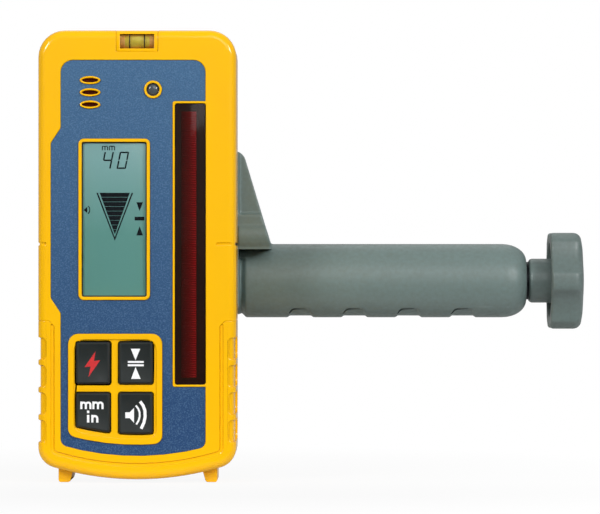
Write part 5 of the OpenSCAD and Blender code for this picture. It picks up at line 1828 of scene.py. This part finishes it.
PARTS: list[Any] = [
    Display(), Keypad(), SensorWindow(), StrobeLens(), BubbleLevel(),
    Softened("front_housing", Finishes.YELLOW_ABS, width=0.25, clamp=False),
    Softened("rear_housing", Finishes.YELLOW_ABS, width=0.25, clamp=False),
    GripGuard(),
    Softened("front_label", Finishes.LABEL_FILM, width=0.05),
    VialHolder(),
    Softened("battery_door", Finishes.YELLOW_ABS, "battery_door"),
    MountScrew(),
    Softened("housing_screws", Finishes.ZINC_STEEL, width=0.15),
    CellSprings(),
    Cells(),
    ClampFrame("clamp_frame", Finishes.GREY_NYLON),
    ClampKnob(),
    Softened("fixed_jaw_pad", Finishes.BLACK_RUBBER),
    Moulding("travelling_jaw", Finishes.GREY_NYLON, "jaw", voxel=0.4),
    Softened("travelling_jaw_pad", Finishes.BLACK_RUBBER, "jaw"),
    ClampScrew(),
]


# Studio

@dataclass
class Studio:
    """Camera, floor, lamps and world, in millimetres; the world's pairs are strengths in front and behind."""

    camera_x: float = 62.43
    camera_y: float = -1444.0
    camera_z: float = -4.98
    frame_width: float = 229.8
    distance: float = 1400.0
    sensor: float = 36.0
    floor_z: float = -91.75
    floor_half: float = 6000.0
    floor_dark: Point = (-120.0, -40.0)
    floor_tones: tuple[str, str] = ("#3a3a3a", "#e0e0e0")
    shadow: Point = (60.0, 260.0)
    shadow_share: float = 0.1
    side_turn: Point = (-0.3, 0.3)
    fill: Point = (0.85, 0.22)
    mirror: Point = (0.12, 0.4)

    def build(self) -> None:
        """Sets up everything round the object."""
        self.camera()
        self.floor()
        self.world()
        self.lamps()
        bpy.context.scene.view_settings.view_transform = "Standard"

    def camera(self) -> None:
        """Places the camera square in front, as in the photograph."""
        data = bpy.data.cameras.new("camera")
        data.sensor_fit = "HORIZONTAL"
        data.sensor_width = self.sensor
        data.lens = self.sensor * self.distance / self.frame_width
        data.clip_start, data.clip_end = 0.05, 20.0
        item = linked("camera", data)
        item.location = Vector((self.camera_x, self.camera_y, self.camera_z)) * MM
        item.rotation_euler = (math.pi / 2, 0, 0)
        bpy.context.scene.camera = item

    def floor(self) -> None:
        """Lays a pale floor under the feet: it keeps a light shadow, and its dark front part stops glare."""
        bm = bmesh.new()
        half = self.floor_half
        bm.faces.new([bm.verts.new((x, y, self.floor_z))
                      for x, y in ((-half, -half), (half, -half), (half, half), (-half, half))])
        item = finish_mesh(bm, "floor")
        material = bpy.data.materials.new("painted_floor")
        tree = empty_tree(material)
        where = add_node(tree, "TexCoord")
        split = add_node(tree, "SeparateXYZ", {"Vector": where.outputs["Object"]})
        front = add_node(tree, "MapRange", {"Value": split.outputs["Y"], "From Min": self.floor_dark[0] * MM,
                                            "From Max": self.floor_dark[1] * MM})
        tone = add_node(tree, "Mix", {"#0": front.outputs[0], "#6": linear(self.floor_tones[0]),
                                      "#7": linear(self.floor_tones[1])}, data_type="RGBA")
        matt = add_node(tree, "BsdfDiffuse", {"Color": tone.outputs[2]})
        white = add_node(tree, "Emission", {"Color": WHITE, "Strength": 1.0})
        path = add_node(tree, "LightPath")
        reach = add_node(tree, "VectorMath", {"#0": where.outputs["Object"]}, operation="LENGTH")
        fade = add_node(tree, "MapRange", {
            "Value": reach.outputs["Value"], "From Min": self.shadow[0] * MM, "From Max": self.shadow[1] * MM,
            "To Min": 1.0 - self.shadow_share})
        share = add_node(tree, "Math", {"#0": path.outputs["Is Camera Ray"], "#1": fade.outputs[0]},
                         operation="MULTIPLY")
        mix = add_node(tree, "MixShader", {"#0": share.outputs[0], "#1": matt.outputs[0],
                                           "#2": white.outputs[0]})
        add_node(tree, "OutputMaterial", {"Surface": mix.outputs[0]})
        item.data.materials.append(material)

    def world(self) -> None:
        """Gives soft fill light: white to the camera and through clear pieces, dimmer in reflections."""
        world = bpy.data.worlds.new("world")
        tree = empty_tree(world)
        path = add_node(tree, "LightPath")
        seen = add_node(tree, "Background", {"Color": WHITE, "Strength": 1.0})
        coords = add_node(tree, "TexCoord")
        side = add_node(tree, "SeparateXYZ", {"Vector": coords.outputs["Generated"]})
        soft = add_node(tree, "MapRange", {
            "Value": side.outputs["Y"], "From Min": -1.0, "From Max": self.side_turn[1],
            "To Min": self.fill[0], "To Max": self.fill[1]})
        fill = add_node(tree, "Background", {"Color": WHITE, "Strength": soft.outputs[0]})
        behind = add_node(tree, "MapRange", {
            "Value": side.outputs["Y"], "From Min": self.side_turn[0], "From Max": self.side_turn[1],
            "To Min": self.mirror[0], "To Max": self.mirror[1]})
        mirror = add_node(tree, "Background", {"Color": WHITE, "Strength": behind.outputs[0]})
        direct = add_node(tree, "Math", {"#0": path.outputs["Is Camera Ray"],
                                         "#1": path.outputs["Is Transmission Ray"]}, operation="MAXIMUM")
        shine = add_node(tree, "MixShader", {"#0": path.outputs["Is Glossy Ray"], "#1": fill.outputs[0],
                                             "#2": mirror.outputs[0]})
        mix = add_node(tree, "MixShader", {"#0": direct.outputs[0], "#1": shine.outputs[0],
                                           "#2": seen.outputs[0]})
        add_node(tree, "OutputWorld", {"Surface": mix.outputs[0]})
        bpy.context.scene.world = world

    def lamps(self) -> None:
        """Hangs the soft boxes: one above each shoulder, a broad one in front and one behind."""
        self.lamp("left_key", (-760, -1050, 500), (20, 0, -10), 300, 7.0)
        self.lamp("right_key", (960, -1000, 480), (60, 0, -10), 300, 8.6)
        self.lamp("front", (300, -1200, 580), (60, 0, -10), 600, 2.6)
        self.lamp("back", (100, 900, 900), (40, 0, 0), 700, 1.3)

    def lamp(self, name: str, at: Place, aim: Place, size: float, power: float) -> None:
        """Adds one square soft box.

        Args:
            name: the lamp's name.
            at: where it hangs, in millimetres.
            aim: the point that it faces.
            size: its side.
            power: its power in watts.
        """
        data = bpy.data.lights.new(name, "AREA")
        data.size = size * MM
        data.energy = power
        item = linked(name, data)
        item.location = Vector(at) * MM
        item.rotation_euler = (Vector(aim) - Vector(at)).to_track_quat("-Z", "Y").to_euler()


def main() -> None:
    """Builds every sub-assembly, then the studio."""
    logging.basicConfig(level=logging.INFO, format="%(name)s: %(message)s")
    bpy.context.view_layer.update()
    for node, finish in PLAIN_NODES.items():
        dress(node, finish)
    for part in PARTS:
        part.build()
    Studio().build()
    log.info("sizes written")


if __name__ == "__main__":
    main()
